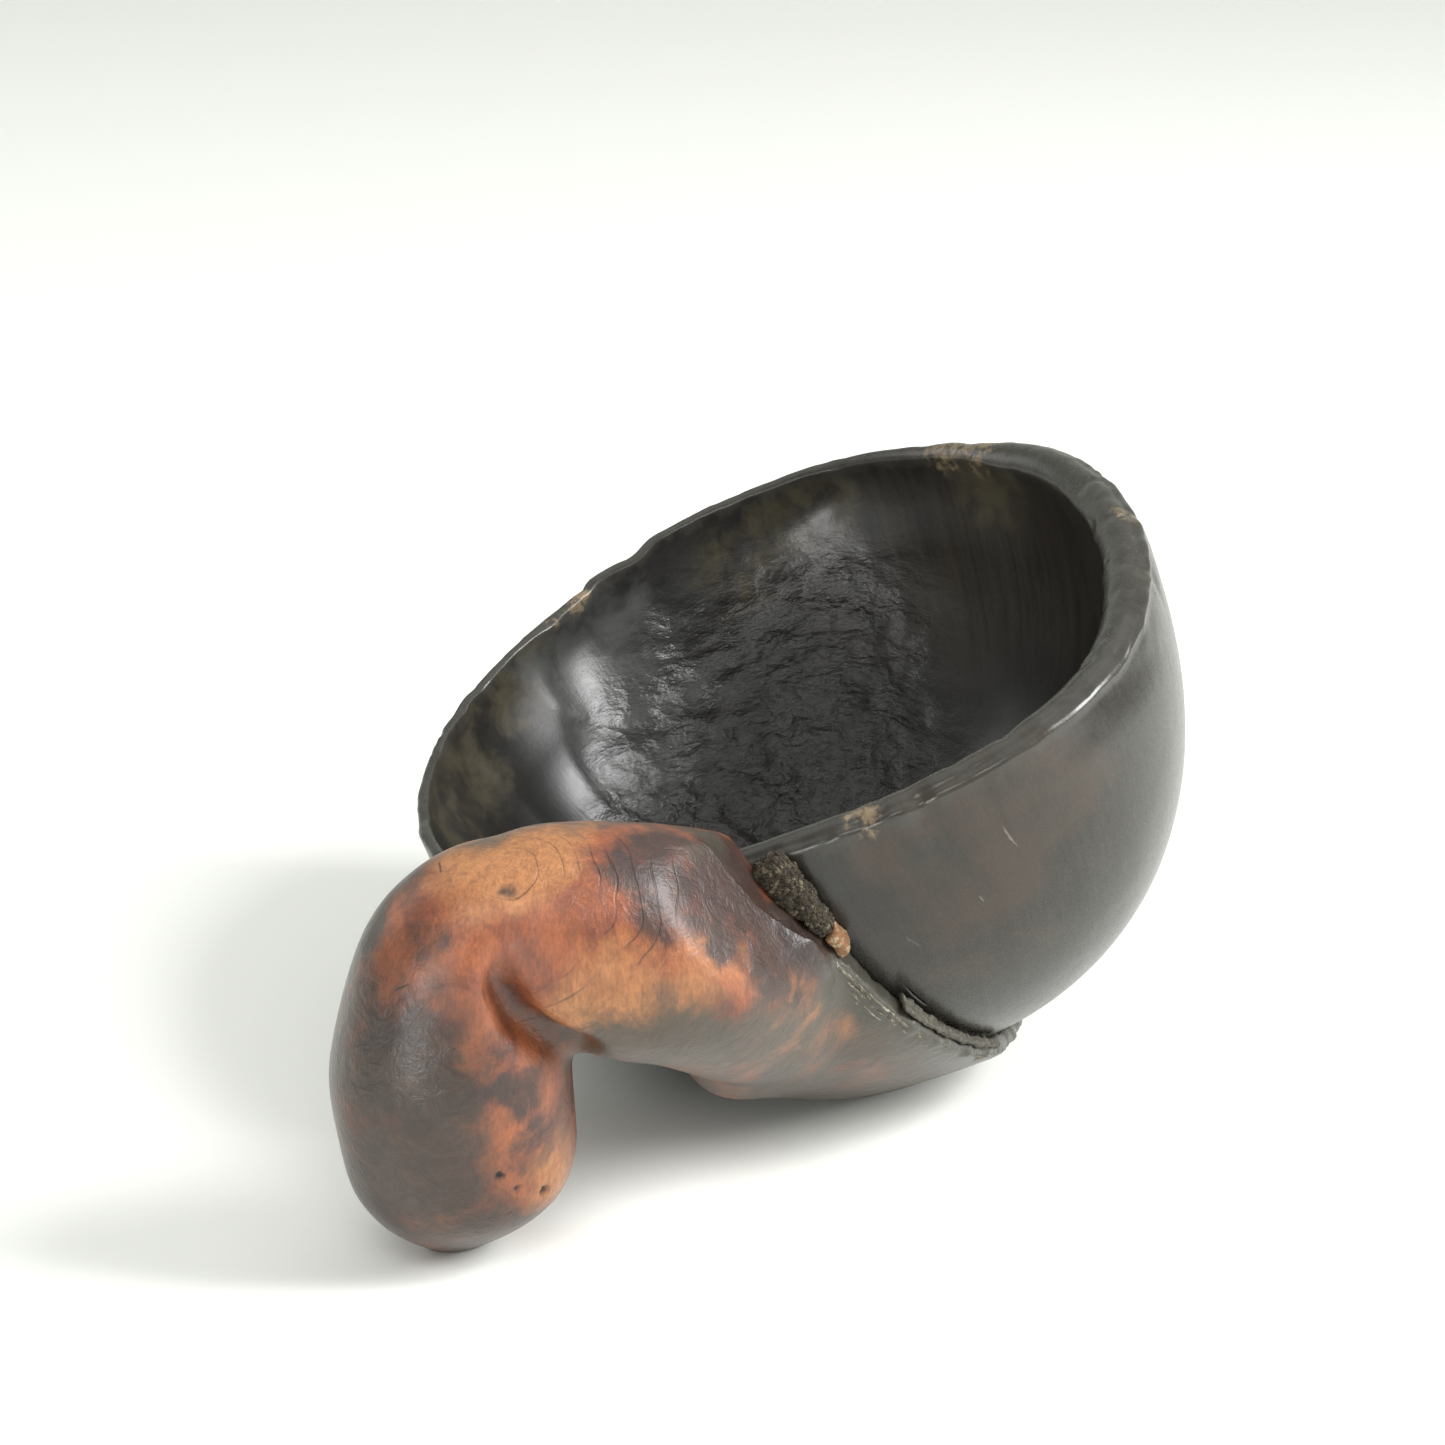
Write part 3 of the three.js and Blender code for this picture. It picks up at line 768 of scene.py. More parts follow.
@dataclass(frozen=True)
class HandleFinish:
    """Hand-polished red-orange burl with dark and golden patches and thin growth rings."""

    name: str = "handle burl"
    orange: Colour = (0.27, 0.082, 0.031)
    red: Colour = (0.115, 0.030, 0.015)
    gold: Colour = (0.37, 0.165, 0.062)
    dark: Colour = (0.024, 0.015, 0.013)
    # Grey used as painted reflection and painted shade on the handle's underside and upper edges.
    sheen_and_shade: Colour = (0.044, 0.042, 0.031)
    char: Colour = (0.019, 0.015, 0.012)
    char_vein: Colour = (0.040, 0.029, 0.021)
    ring_centre: Point = (-51, -97, 86)
    ring_radii: tuple[float, ...] = (7.5, 12.5, 16.0, 19.5, 22.0, 25.5, 29.0, 33.0)
    cracks: tuple[Mark, ...] = (
        Mark((-67, -103, 78), (-66, -107, 70), 0.4, 1.5),
        Mark((-66, -107, 70), (-73, -104, 65), 0.45, 1.5),
        Mark((-65, -88, 86), (-64, -93, 85), 0.35, 0.8),
        Mark((-60, -108, 55), (-76, -103, 52), 0.3, 0.6),
        Mark((-60, -106, 29), (-44, -93, 32), 0.25, 1.6),
        Mark((-54, -104, 38), (-50, -101, 35), 0.7, 1.6),
        Mark((-50, -99, 31), (-46, -96, 28), 0.7, 1.6),
        Mark((-56, -104, 28), (-52, -101, 25), 0.8, 1.6),
        Mark((-53, -101, 23), (-49, -98, 20.5), 0.8, 1.6),
        Mark((-50, -103, 47), (-46, -99, 43), 0.6, 1.8),
        Mark((-56, -103, 14), (-40, -88, 22), 0.3, 1.8),
    )

    def rings(self, n: Nodes, at: bpy.types.NodeSocket) -> bpy.types.NodeSocket:
        """Thin dark lines at set distances from the elbow, bent by the burl."""
        bend = n.add("ShaderNodeTexNoise", {"Vector": at, "Scale": 38.0, "Detail": 2.0})
        bend = n.vector("SUBTRACT", bend.outputs["Color"], (0.5, 0.5, 0.5))
        bent = n.vector("ADD", at, n.vector("MULTIPLY", bend, (0.012, 0.012, 0.012)))
        centre = tuple(c * MM for c in self.ring_centre)
        far = n.vector("DISTANCE", bent, centre)
        total: Value = 0.0
        for radius in self.ring_radii:
            gap = n.math("ABSOLUTE", n.math("SUBTRACT", far, radius * MM))
            total = n.math("MAXIMUM", total, n.share(gap, 0.26 * MM, 0.04 * MM))
        broken = n.share(n.noise(at, 70.0, 3.0), 0.42, 0.6)
        return n.math("MULTIPLY", n.math("MULTIPLY", total, broken), n.layer("ringed"))

    def make(self, effects: Effects) -> bpy.types.Material:
        """Builds the material."""
        material, n, shader = new_material(self.name)
        at = n.here()
        fibres = effects.fibres(n, at, (0.7, 0.7, 0.22), 620.0, 0.5)
        cloud = n.noise(at, 48.0, 6.0, 0.62, 1.2)
        burl = n.noise(at, 105.0, 5.0, 0.62, 2.2)

        colour = n.blend(n.share(cloud, 0.38, 0.68), self.orange, self.red)
        gold = effects.worn(n, at, n.layer("gold"), 46.0, 0.5)
        colour = n.blend(gold, colour, self.gold)
        colour = n.tint(colour, n.share(burl, 0.5, 0.8), 0.35, self.red)
        lighter = n.blend(1.0, colour, (1.25, 1.2, 1.12), "MULTIPLY")
        darker = n.blend(1.0, colour, (0.66, 0.6, 0.56), "MULTIPLY")
        colour = n.blend(fibres.outputs["Streak"], darker, lighter)
        char = effects.worn(n, at, n.layer("char"), 60.0, 0.75)
        vein = n.noise(at, 190.0, 5.0, 0.65, 1.6)
        charred = n.blend(n.share(vein, 0.35, 0.7), self.char, self.char_vein)
        colour = n.tint(colour, char, 0.93, charred)
        dark = effects.worn(n, at, n.layer("dark"), 85.0, 0.42)
        colour = n.tint(colour, dark, 0.92, self.dark)
        # Painted reflection and shade: grey laid over the underside and along the upper edges.
        sheen_and_shade = effects.worn(n, at, n.layer("sheen_and_shade"), 70.0, 0.5)
        colour = n.tint(colour, sheen_and_shade, 0.92, self.sheen_and_shade)

        rings = self.rings(n, at)
        crack = all_marks(n, effects, at, self.cracks)
        line = n.math("MAXIMUM", n.math("MULTIPLY", rings, 0.5), n.math("MULTIPLY", crack, 0.85))
        # Painted shade: the crease between knob and arm is darkened.
        fold = n.math("MULTIPLY", n.layer("fold"), 0.8)
        colour = n.blend(fold, colour, (0.016, 0.012, 0.010))
        colour = n.blend(line, colour, (0.012, 0.009, 0.008))
        colour = n.blend(n.layer("pit"), colour, (0.012, 0.012, 0.011))
        ticks = effects.fibres(n, at, (1.0, 1.0, 0.16), 520.0, 0.12).outputs["Streak"]
        ticks = n.share(ticks, 0.75, 1.0)
        ticks = n.math("MULTIPLY", ticks, n.math("SUBTRACT", 1.0, n.layer("char")))
        colour = n.tint(colour, ticks, 0.2, (0.05, 0.022, 0.014))
        dust = effects.specks(n, at, 420.0, 0.15, 0.993)
        colour = n.tint(colour, dust, 0.7, (0.55, 0.5, 0.46))
        n.put(shader.inputs["Base Color"], colour)

        rough = n.between(n.share(burl, 0.3, 0.7), 0.38, 0.47)
        rough = n.between(n.math("MULTIPLY", n.layer("char"), 0.9), rough, 0.30)
        rough = n.between(n.layer("pit"), rough, 0.8)
        n.put(shader.inputs["Roughness"], rough)
        normal = bumped(n, fibres.outputs["Height"], 0.16)
        normal = bumped(n, vein, 0.5, 0.7, normal)
        normal = bumped(n, burl, 0.35, 0.6, normal)
        normal = bumped(n, n.math("SUBTRACT", 1.0, line), 0.3, 1.0, normal)
        n.put(shader.inputs["Normal"], normal)
        shader.inputs["Coat Weight"].default_value = 0.18
        shader.inputs["Coat Roughness"].default_value = 0.3
        return material


@dataclass(frozen=True)
class RoughFinish:
    """Matte broken wood or bark: two colours in crumbs and layers, with a deep bump."""

    name: str
    low: Colour
    high: Colour
    pale: Colour
    scale: float
    pale_share: float
    depth: float
    stretch: Point = (1.0, 1.0, 1.0)
    roughness: float = 0.9

    def make(self, effects: Effects) -> bpy.types.Material:
        """Builds the material."""
        material, n, shader = new_material(self.name)
        at = n.here()
        layers = effects.fibres(n, at, self.stretch, self.scale, 0.45)
        colour = n.blend(layers.outputs["Streak"], self.low, self.high)
        flecks = effects.worn(n, at, self.pale_share, self.scale * 1.6, 0.15)
        colour = n.blend(flecks, colour, self.pale)
        dust = effects.specks(n, at, 700.0, 0.2, 0.93)
        colour = n.tint(colour, dust, 0.6, self.pale)
        n.put(shader.inputs["Base Color"], colour)
        shader.inputs["Roughness"].default_value = self.roughness
        n.put(shader.inputs["Normal"], bumped(n, layers.outputs["Height"], self.depth))
        return material


BARK = RoughFinish("bark", (0.010, 0.007, 0.004), (0.050, 0.038, 0.022), (0.16, 0.13, 0.08),
                   450.0, 0.22, 0.8)
FIBRE = RoughFinish("bark fibres", (0.07, 0.062, 0.045), (0.17, 0.15, 0.11), (0.3, 0.27, 0.21),
                    700.0, 0.3, 0.2)
CHIP = RoughFinish("broken chip", (0.09, 0.042, 0.014), (0.24, 0.11, 0.04), (0.32, 0.26, 0.16),
                   520.0, 0.3, 0.35, (1.0, 1.0, 0.3), 0.7)
WEATHERED = RoughFinish("weathered edge", (0.022, 0.020, 0.014), (0.095, 0.088, 0.064),
                        (0.14, 0.13, 0.1), 620.0, 0.2, 0.5, (0.35, 0.35, 1.0), 0.6)
PEG = RoughFinish("peg wood", (0.28, 0.16, 0.08), (0.45, 0.28, 0.15), (0.5, 0.34, 0.2),
                  240.0, 0.2, 0.2, (1.0, 1.0, 0.2), 0.6)


# ---------------------------------------------------------------- the bowl
@dataclass(frozen=True)
class Blot:
    """A patch of one tint: where, how big and how strong."""

    at: Point
    size: float
    share: float = 1.0


def blotted(at: Array, blots: list[Blot] | tuple[Blot, ...], reach: float) -> Array:
    """The strongest blot at each place, with each spread to reach times its size."""
    mask = np.zeros(len(at))
    for blot in blots:
        mask = np.maximum(mask, blot.share * nearness(at, blot.at, blot.size * reach))
    return mask


@dataclass(frozen=True)
class Gouge:
    """One shallow cut of a gouge on the wall: its middle, half sizes and depth."""

    around: float
    below: float
    wide: float
    tall: float
    depth: float
    turned: float = 0.0


@dataclass(frozen=True)
class Notch:
    """A dent or a hump along the rim: where, how wide, and how deep or high."""

    around: float
    wide: float
    out: float
    up: float = 0.0


@dataclass
class Bowl:
    """The deep bowl, a closed shell drawn row by row over the rule of its wall."""

    wall: Wall
    columns: int = 384
    outside_rows: int = 82
    rim_rows: int = 26
    inside_rows: int = 104
    crown: float = 2.1
    scoop_face: float = 2.0
    map_radius: float = 0.085
    map_wall_step: float = 0.01
    gouges: tuple[Gouge, ...] = (
        Gouge(129, 9, 15, 27, 2.1, -8),
        Gouge(136, 26, 13, 22, 1.3, 10),
        Gouge(150, 14, 14, 24, 0.8, 0),
        Gouge(114, 18, 9, 26, 0.7, -12),
        Gouge(127, 37, 12, 12, 0.9, 30),
        Gouge(103, 12, 10, 20, 0.7, -14),
        Gouge(93, 10, 9, 18, 0.5, -14),
        Gouge(166, 14, 15, 20, 0.7, 12),
        Gouge(182, 18, 15, 24, 0.6, 0),
        Gouge(116, 52, 14, 18, 0.8, 40),
        Gouge(85, 5, 6, 7, 0.6, 0),
    )
    notches: tuple[Notch, ...] = (
        Notch(130, 7, -0.9, -0.3),
        Notch(115, 3, -1.0, -0.5),
        Notch(108, 6, 0.5, 0.7),
        Notch(289, 1.6, -0.7, -0.5),
        Notch(280, 1.8, -0.6, -0.6),
        Notch(297, 1.2, -0.4, -0.3),
        Notch(350, 2.0, -0.5, -0.3),
        Notch(7, 1.6, -0.4, -0.4),
    )

    def grid(self) -> tuple[Array, Array, Array]:
        """Degrees round, degrees below and share through the wall, for each row and column."""
        around = np.arange(self.columns) * 360 / self.columns
        outer = 90 - 90 * np.arange(1, self.outside_rows + 1) / self.outside_rows
        share = 0.5 - 0.5 * np.cos(np.pi * np.arange(1, self.rim_rows + 1) / (self.rim_rows + 1))
        bow = np.sin(np.pi * share) ** 0.62
        inner = 0.4 + 89.6 * np.arange(self.inside_rows) / self.inside_rows
        below = np.concatenate([outer, 0 * bow, inner])
        through = np.concatenate([0 * outer, share, 0 * inner + 1])
        bows = np.concatenate([0 * outer, bow, 0 * inner])
        shape = (len(below), self.columns)
        full = np.broadcast_to
        height = self.crown * self.wall.thickness(around, 0 * around) / 9
        below = full(below[:, None], shape) - bows[:, None] * height
        return full(around, shape), below, full(through[:, None], shape)

    def worn_points(self, around: Array, below: Array, through: Array) -> Array:
        """The wall's points with the dents and humps of the rim."""
        points = self.wall.point(around, below, through)
        side = np.radians(around)
        outwards = np.stack([np.cos(side), np.sin(side), 0 * side], -1) @ self.wall.turn().T
        upwards = self.wall.turn()[:, 2]
        near_rim = smooth(9, 0, below)[..., None]
        for notch in self.notches:
            swing = turned_from(around, notch.around)
            size = bell(swing, 0, notch.wide)[..., None] * near_rim
            points = points + size * (outwards * notch.out + upwards * notch.up)
        flat = points.reshape(-1, 3)
        wobble = turbulence(flat, 9.0, 3, 5).reshape(around.shape)[..., None]
        drift = soft_noise(flat, 26.0, 8).reshape(around.shape)[..., None]
        nick = np.clip(turbulence(flat, 5.0, 2, 61) - 0.35, 0, 1).reshape(around.shape)[..., None]
        out = outwards * (0.3 * wobble + 0.5 * drift)
        return points + near_rim * (out + upwards * (0.3 * wobble - 1.0 * nick))

    def carving(self, around: Array, below: Array, through: Array, points: Array) -> Array:
        """How far each point moves out of the wood, in millimetres."""
        inside = smooth(0.6, 1.0, through)
        depth = np.zeros(around.shape)
        reach = self.wall.round_the_mouth(self.wall.radii, around)
        for cut in self.gouges:
            swing = turned_from(around, cut.around)
            across = np.radians(swing) * reach * np.cos(np.radians(np.clip(below, 0, 80)))
            down = np.radians(below - cut.below) * self.wall.depth
            c, s = math.cos(math.radians(cut.turned)), math.sin(math.radians(cut.turned))
            x, y = (across * c + down * s) / cut.wide, (down * c - across * s) / cut.tall
            depth = np.maximum(depth, cut.depth * np.clip(1 - x * x - y * y, 0, None))
        flat = points.reshape(-1, 3)
        torn = self.torn(points)
        stretch = flat * np.array([0.5, 0.5, 1.0])
        ripple = turbulence(stretch, 3.4, 2, 11).reshape(around.shape)
        chop = np.abs(turbulence(flat, 8.0, 3, 21)).reshape(around.shape)
        swell = soft_noise(flat, 24.0, 31).reshape(around.shape)
        inner = -depth + torn * (0.6 * ripple + 1.3 * chop) + 0.3 * swell
        face = bell(turned_from(around, 132), 0, 20) * smooth(46, 22, below)
        inner = inner + face * self.scoop_face * smooth(4, 40, below)
        inner = inner * smooth(0, 7, below)
        outer = 0.28 * soft_noise(flat, 30.0, 41).reshape(around.shape)
        outer = outer + 0.04 * turbulence(flat, 5.0, 2, 43).reshape(around.shape)
        bead = bell(through, 0.05, 0.05) * 0.22 - bell(through, 0.17, 0.05) * 0.2
        near = smooth(85, 60, np.abs(turned_from(around, 325)))
        on_rim = (through > 0) & (through < 1)
        return outer * (1 - inside) + inner * inside + np.where(on_rim, bead * near, 0)

    @staticmethod
    def torn(points: Array) -> Array:
        """Where the inside is rough: the bottom and the middle of the back wall."""
        away = np.linalg.norm(points - np.array([10, 84, 42]), axis=-1)
        low = np.linalg.norm(points - np.array([-14, 66, 26]), axis=-1)
        return np.maximum(smooth(60, 16, away), smooth(34, 8, low)) * smooth(56, 24, points[..., 0])

    def build(self) -> bpy.types.Object:
        """Makes the mesh, with its wall map and painted layers."""
        around, below, through = self.grid()
        base = self.worn_points(around, below, through)
        normal = np.cross(np.roll(base, -1, 1) - np.roll(base, 1, 1), np.gradient(base, axis=0))
        normal /= np.maximum(np.linalg.norm(normal, axis=-1, keepdims=True), 1e-9)
        middle = self.outside_rows // 2
        if ((normal[middle] * (base[middle] - self.wall.origin())).sum(-1) < 0).any():
            normal = -normal
        lift = self.carving(around, below, through, base)
        fade = smooth(88, 80, below)
        foot = smooth(0.0, 2.0, base[..., 2])
        points = base + normal * (lift * fade * np.where(through < 0.5, foot, 1))[..., None]
        rows, columns = around.shape
        poles = self.wall.point(np.zeros(2), np.array([90.0, 90.0]), np.array([0.0, 1.0]))
        vertices = np.concatenate([points.reshape(-1, 3), poles]) * MM
        vertices[:, 2] = np.maximum(vertices[:, 2], 0)
        start = np.arange(rows - 1)[:, None] * columns + np.arange(columns)
        after = np.arange(rows - 1)[:, None] * columns + (np.arange(columns) + 1) % columns
        quads = np.stack([start, after, after + columns, start + columns], -1).reshape(-1, 4)
        last, ring = (rows - 1) * columns, np.arange(columns)
        turn = (ring + 1) % columns
        bottom = np.stack([turn, ring, np.full(columns, rows * columns)], -1)
        floor = np.stack([last + ring, last + turn, np.full(columns, rows * columns + 1)], -1)
        faces = quads.tolist() + bottom.tolist() + floor.tolist()
        made = mesh_object("bowl_carved", vertices, faces)
        self.map_wall(made, around, below, through)
        flat = places(made)
        whole_through = self.with_poles(through, 0.0, 1.0)
        paint(made, "inside", smooth(0.85, 1.0, whole_through))
        on_rim = np.where((through > 0) & (through < 1), 1.0, smooth(2.5, 0.0, below))
        paint(made, "rim", self.with_poles(on_rim, 0, 0) * 0.75)
        self.dress(made, flat, self.with_poles(self.torn(base), 0.0, 1.0))
        return made

    @staticmethod
    def with_poles(grid: Array, bottom: float, floor: float) -> Array:
        """A grid's values in one row, then those of the outer and the inner pole."""
        return np.concatenate([grid.ravel(), [bottom, floor]])

    def map_wall(self, piece: bpy.types.Object, around: Array, below: Array,
                 through: Array) -> None:
        """Lays a map over the wall in metres: round the bowl and down it, parted by the seam."""
        turned = (around - self.wall.seam_start + 20) % 360
        pole_u, pole_v = (0.27, 0.27), (0.134, 0.144)
        u = self.with_poles(np.radians(turned) * self.map_radius, *pole_u)
        v = np.radians(below) * self.map_radius + through * self.map_wall_step
        v = self.with_poles(v, *pole_v)
        corner = np.empty(len(piece.data.loops), np.int64)
        piece.data.loops.foreach_get("vertex_index", corner)
        totals = np.empty(len(piece.data.polygons), np.int64)
        piece.data.polygons.foreach_get("loop_total", totals)
        owner = np.repeat(np.arange(len(totals)), totals)
        across = u[corner]
        widest = np.full(len(totals), -1.0)
        np.maximum.at(widest, owner, across)
        lap = 2 * math.pi * self.map_radius
        across = np.where(widest[owner] - across > lap / 2, across + lap, across)
        layer = piece.data.uv_layers.new(name="wall")
        layer.data.foreach_set("uv", np.stack([across, v[corner]], -1).astype(np.float32).ravel())

    def dress(self, piece: bpy.types.Object, at: Array, torn: Array) -> None:
        """Paints where the wood is torn, olive, mottled and tan, and a painted highlight on the
        gouged inner wall.
        """
        spots = {
            # The first list is a painted highlight on the gouged inner wall.
            "highlight_patch": [((-40, 85, 72), 16, 0.8), ((-34, 84, 58), 17, 0.7), ((-30, 80, 46), 14, 0.5),
                       ((-47, 78, 64), 12, 0.6)],
            "olive": [((-60, 64, 66), 12, 0.5), ((-64, 48, 55), 13, 0.5), ((-68, 28, 50), 12, 0.45),
                      ((-6, 101, 82), 11, 0.4), ((4, 102, 90), 11, 0.45), ((13, 101, 97), 8, 0.5),
                      ((48, 80, 113), 14, 0.55), ((-55, 74, 76), 9, 0.45)],
            "streaked": [((45, 88, 92), 30, 1.0), ((64, 60, 100), 28, 0.9), ((70, 20, 95), 28, 0.8),
                         ((24, 98, 84), 20, 0.6), ((-66, 30, 60), 24, 0.6)],
            "mottle": [((30, -60, 78), 14, 0.6), ((41, -57, 65), 20, 0.7), ((46, -58, 84), 17, 0.6),
                       ((60, -50, 76), 16, 0.4)],
            "tan": [((-44, 86, 80.5), 4.0, 0.55), ((-49, 82, 78), 3, 0.4), ((40, 88, 117), 7, 0.45),
                    ((50, 82, 118), 7, 0.45), ((17, -62, 84), 4, 0.5), ((75, 22, 119), 4, 0.35)],
        }
        for name, blots in spots.items():
            paint(piece, name, blotted(at, [Blot(*blot) for blot in blots], 1.5))
        paint(piece, "torn", torn)


# ---------------------------------------------------------------- the handle
@dataclass
class Handle:
    """The hooked handle with its broad root, one piece of burl."""

    wall: Wall
    voxel: float = 0.9
    passes: int = 48
    edge: float = 6.7
    edge_away: float = 3.0
    slope: float = 3.0
    pared: float = 13.0
    fold: Point = (-50, -104, 60)
    fold_hold: float = 0.75
    crease: tuple[tuple[float, float], ...] = (
        (-53.5, 76), (-52.5, 66), (-49, 58), (-43, 52), (-38, 49),
    )
    crease_width: float = 3.2
    crease_depth: float = 4.2
    gold: tuple[Blot, ...] = (
        Blot((-52, -88, 89), 15), Blot((-46, -84, 90), 12), Blot((-60, -96, 82), 10, 0.5),
        Blot((-30, -102, 64), 13, 0.35), Blot((-34, -102, 55), 13, 0.5),
        Blot((-12, -97, 60), 15, 0.5), Blot((4, -75, 43), 15, 0.5), Blot((-44, -90, 22), 11, 0.6),
        Blot((18, -62, 33), 12, 0.45),
    )
    dark: tuple[Blot, ...] = (
        Blot((-24, -89, 88), 11, 0.75), Blot((-15, -88, 83), 16, 0.9),
        Blot((-7, -80, 78), 18, 0.95), Blot((-8, -92, 73), 10, 0.75), Blot((2, -80, 66), 15, 0.9),
        Blot((4, -86, 58), 8, 0.6), Blot((10, -72, 56), 13, 0.8), Blot((18, -64, 45), 11, 0.75),
        Blot((-74, -105, 62), 8, 0.6), Blot((-56, -106, 50), 8, 0.5),
        Blot((-50, -102, 44), 8, 0.45), Blot((-67, -103, 77), 6, 0.5), Blot((-47, -98, 30), 8, 0.5),
        Blot((-51, -100, 84.5), 2.6, 0.95), Blot((-82, -94, 72), 9, 0.6),
    )
    # Grey blots of painted reflection and painted shade, on the root's underside and along the
    # upper edges.
    sheen_and_shade: tuple[Blot, ...] = (
        Blot((-24, -98, 47), 18, 0.95), Blot((-8, -84, 35), 20, 1.0), Blot((10, -60, 22), 29, 1.0),
        Blot((34, -40, 20), 27, 1.0), Blot((26, -50, 36), 13, 0.9), Blot((-80, -84, 76), 16, 0.85),
        Blot((-72, -80, 84), 13, 0.75), Blot((-40, -74, 86), 14, 0.5),
        Blot((-20, -74, 84), 12, 0.5), Blot((-86, -92, 56), 12, 0.6), Blot((-38, -88, 50), 13, 0.7),
        Blot((-60, -78, 88), 12, 0.6),
    )
    char: tuple[Blot, ...] = (
        Blot((-82, -96, 46), 28, 1.15), Blot((-74, -107, 40), 20, 1.0),
        Blot((-72, -108, 22), 24, 1.0), Blot((-64, -103, 6), 24, 1.0),
        Blot((-78, -94, 10), 28, 1.0), Blot((-86, -84, 34), 28, 1.0), Blot((-68, -80, 8), 28, 1.0),
        Blot((-66, -108, 50), 14, 0.85), Blot((-82, -94, 60), 14, 0.6),
        Blot((-58, -76, 30), 22, 0.8), Blot((-60, -107, 34), 12, 0.7), Blot((-50, -92, 6), 12, 0.8),
        Blot((-72, -118, 44), 24, 1.25), Blot((-70, -118, 26), 26, 1.25),
        Blot((-84, -100, 52), 16, 0.9),
    )
    pits: tuple[Blot, ...] = (
        Blot((-52, -101, 36), 1.5), Blot((-48, -97, 29), 1.4), Blot((-54, -102, 26), 1.6),
        Blot((-51, -99, 22), 1.5), Blot((-46, -94, 19), 1.6), Blot((-44, -92, 33), 1.2),
        Blot((-58, -106, 45), 1.0), Blot((-50, -104, 44), 1.1),
    )

    def build(self) -> bpy.types.Object:
        """Makes the piece from the CAD handle's shape."""
        made = remeshed(cad_copy("handle", "handle_burl"), self.voxel)
        self.pare(made)
        at = places(made)
        beside = self.wall.seam_distance(at)
        hold = smooth(11, 3.5, beside) * 0.85
        hold = np.maximum(hold, self.fold_hold * nearness(at, self.fold, 15))
        hold = np.maximum(hold, smooth(1.2, 0.4, at[:, 2]))
        relaxed(made, hold, self.passes)
        self.carve(made)
        self.dress(made)
        return made

    def crease_share(self, at: Array) -> Array:
        """How deep in the fold between knob and arm each point lies, from 0 to 1."""
        front = at[:, [0, 2]]
        share = np.zeros(len(at))
        for start, end in zip(self.crease, self.crease[1:]):
            a, b = np.array(start), np.array(end)
            part = np.clip((front - a) @ (b - a) / ((b - a) @ (b - a)), 0, 1)
            gap = np.linalg.norm(front - a - part[:, None] * (b - a), axis=1)
            share = np.maximum(share, bell(gap, 0, self.crease_width))
        return share * smooth(78, 62, at[:, 2]) * smooth(-84, -96, at[:, 1])

    def pare(self, piece: bpy.types.Object) -> None:
        """Rounds over the shoulder beside the seam."""
        at = places(piece)
        away, down, lift = self.wall.seam_place(at)
        limit = self.edge + self.slope * np.maximum(away - self.edge_away, 0) ** 0.62
        limit = limit + 40 * smooth(self.pared * 0.4, self.pared, away)
        proud = (lift > limit) & (away > 0) & (away < self.pared) & (down > -12) & (down < 60)
        at[proud] = self.wall.seam_point(away[proud], down[proud], limit[proud])
        move_to(piece, at)

    def carve(self, piece: bpy.types.Object) -> None:
        """Adds the waves of hand carving, the pits and the torn edge along the seam."""
        at, out = places(piece), outward(piece)
        lift = 0.35 * soft_noise(at, 22.0, 3) + 0.1 * soft_noise(at, 7.0, 4) + 0.25
        for pit in self.pits:
            lift -= 1.1 * nearness(at, pit.at, pit.size)
        edge = smooth(8.0, 3.2, self.wall.seam_distance(at))
        lift += edge * 0.45 * turbulence(at, 3.5, 3, 9)
        lift -= self.crease_depth * self.crease_share(at)
        standing = smooth(0.0, 2.5, at[:, 2])
        at = at + out * (lift * standing)[:, None]
        at[:, 2] = np.maximum(at[:, 2], 0)
        move_to(piece, at)

    def dress(self, piece: bpy.types.Object) -> None:
        """Paints the golden and dark patches, and grey painted reflection and painted shade."""
        at = places(piece)
        for name in ("gold", "dark", "sheen_and_shade", "char"):
            paint(piece, name, blotted(at, getattr(self, name), 1.35))
        paint(piece, "pit", blotted(at, self.pits, 1.1))
        # Painted shade in the crease between knob and arm, deepest at its middle.
        paint(piece, "fold", self.crease_share(at) ** 2)
        away, down, _ = self.wall.seam_place(at)
        band = smooth(13, 6, away) * smooth(8, 20, down) * (away > -20)
        brim = smooth(6.5, 4.4, away) * (away > -20) * smooth(-14, -8, down)
        # Painted reflection and shade: the root's underside and the band beside the seam are
        # greyed.
        under = smooth(28, 46, down) * smooth(52, 40, away)
        greyed = 1.25 * np.maximum(band, under)
        for name, mask in (("char", np.maximum(0.8 * band, 1.2 * brim)), ("sheen_and_shade", greyed)):
            layer = piece.data.attributes[name].data
            old = np.empty(len(at), np.float32)
            layer.foreach_get("value", old)
            layer.foreach_set("value", np.maximum(old, mask * (at[:, 0] > -30)).astype(np.float32))
        right = smooth(-58, -46, at[:, 0]) * smooth(-12, -22, at[:, 0]) * smooth(-70, -84, at[:, 1])
        paint(piece, "ringed", right * smooth(48, 58, at[:, 2]))


# ---------------------------------------------------------------- bark in the seam
@dataclass
class BarkStrip:
    """A strip of crumbling bark that fills part of the seam."""

    node: str
    name: str
    voxel: float = 0.55
    rough: float = 0.9
    lift: float = 0.25

    def build(self) -> bpy.types.Object:
        """Makes the strip from its CAD node, with a broken surface."""
        made = remeshed(cad_copy(self.node, self.name), self.voxel)
        at = places(made)
        relaxed(made, np.zeros(len(at)), 3)
        at, out = places(made), outward(made)
        lift = self.rough * turbulence(at, 3.4, 3, 14) * 0.6 + self.lift
        lift += 0.5 * np.abs(turbulence(at * np.array([1, 1, 0.4]), 1.5, 2, 15))
        move_to(made, at + out * lift[:, None])
        return made


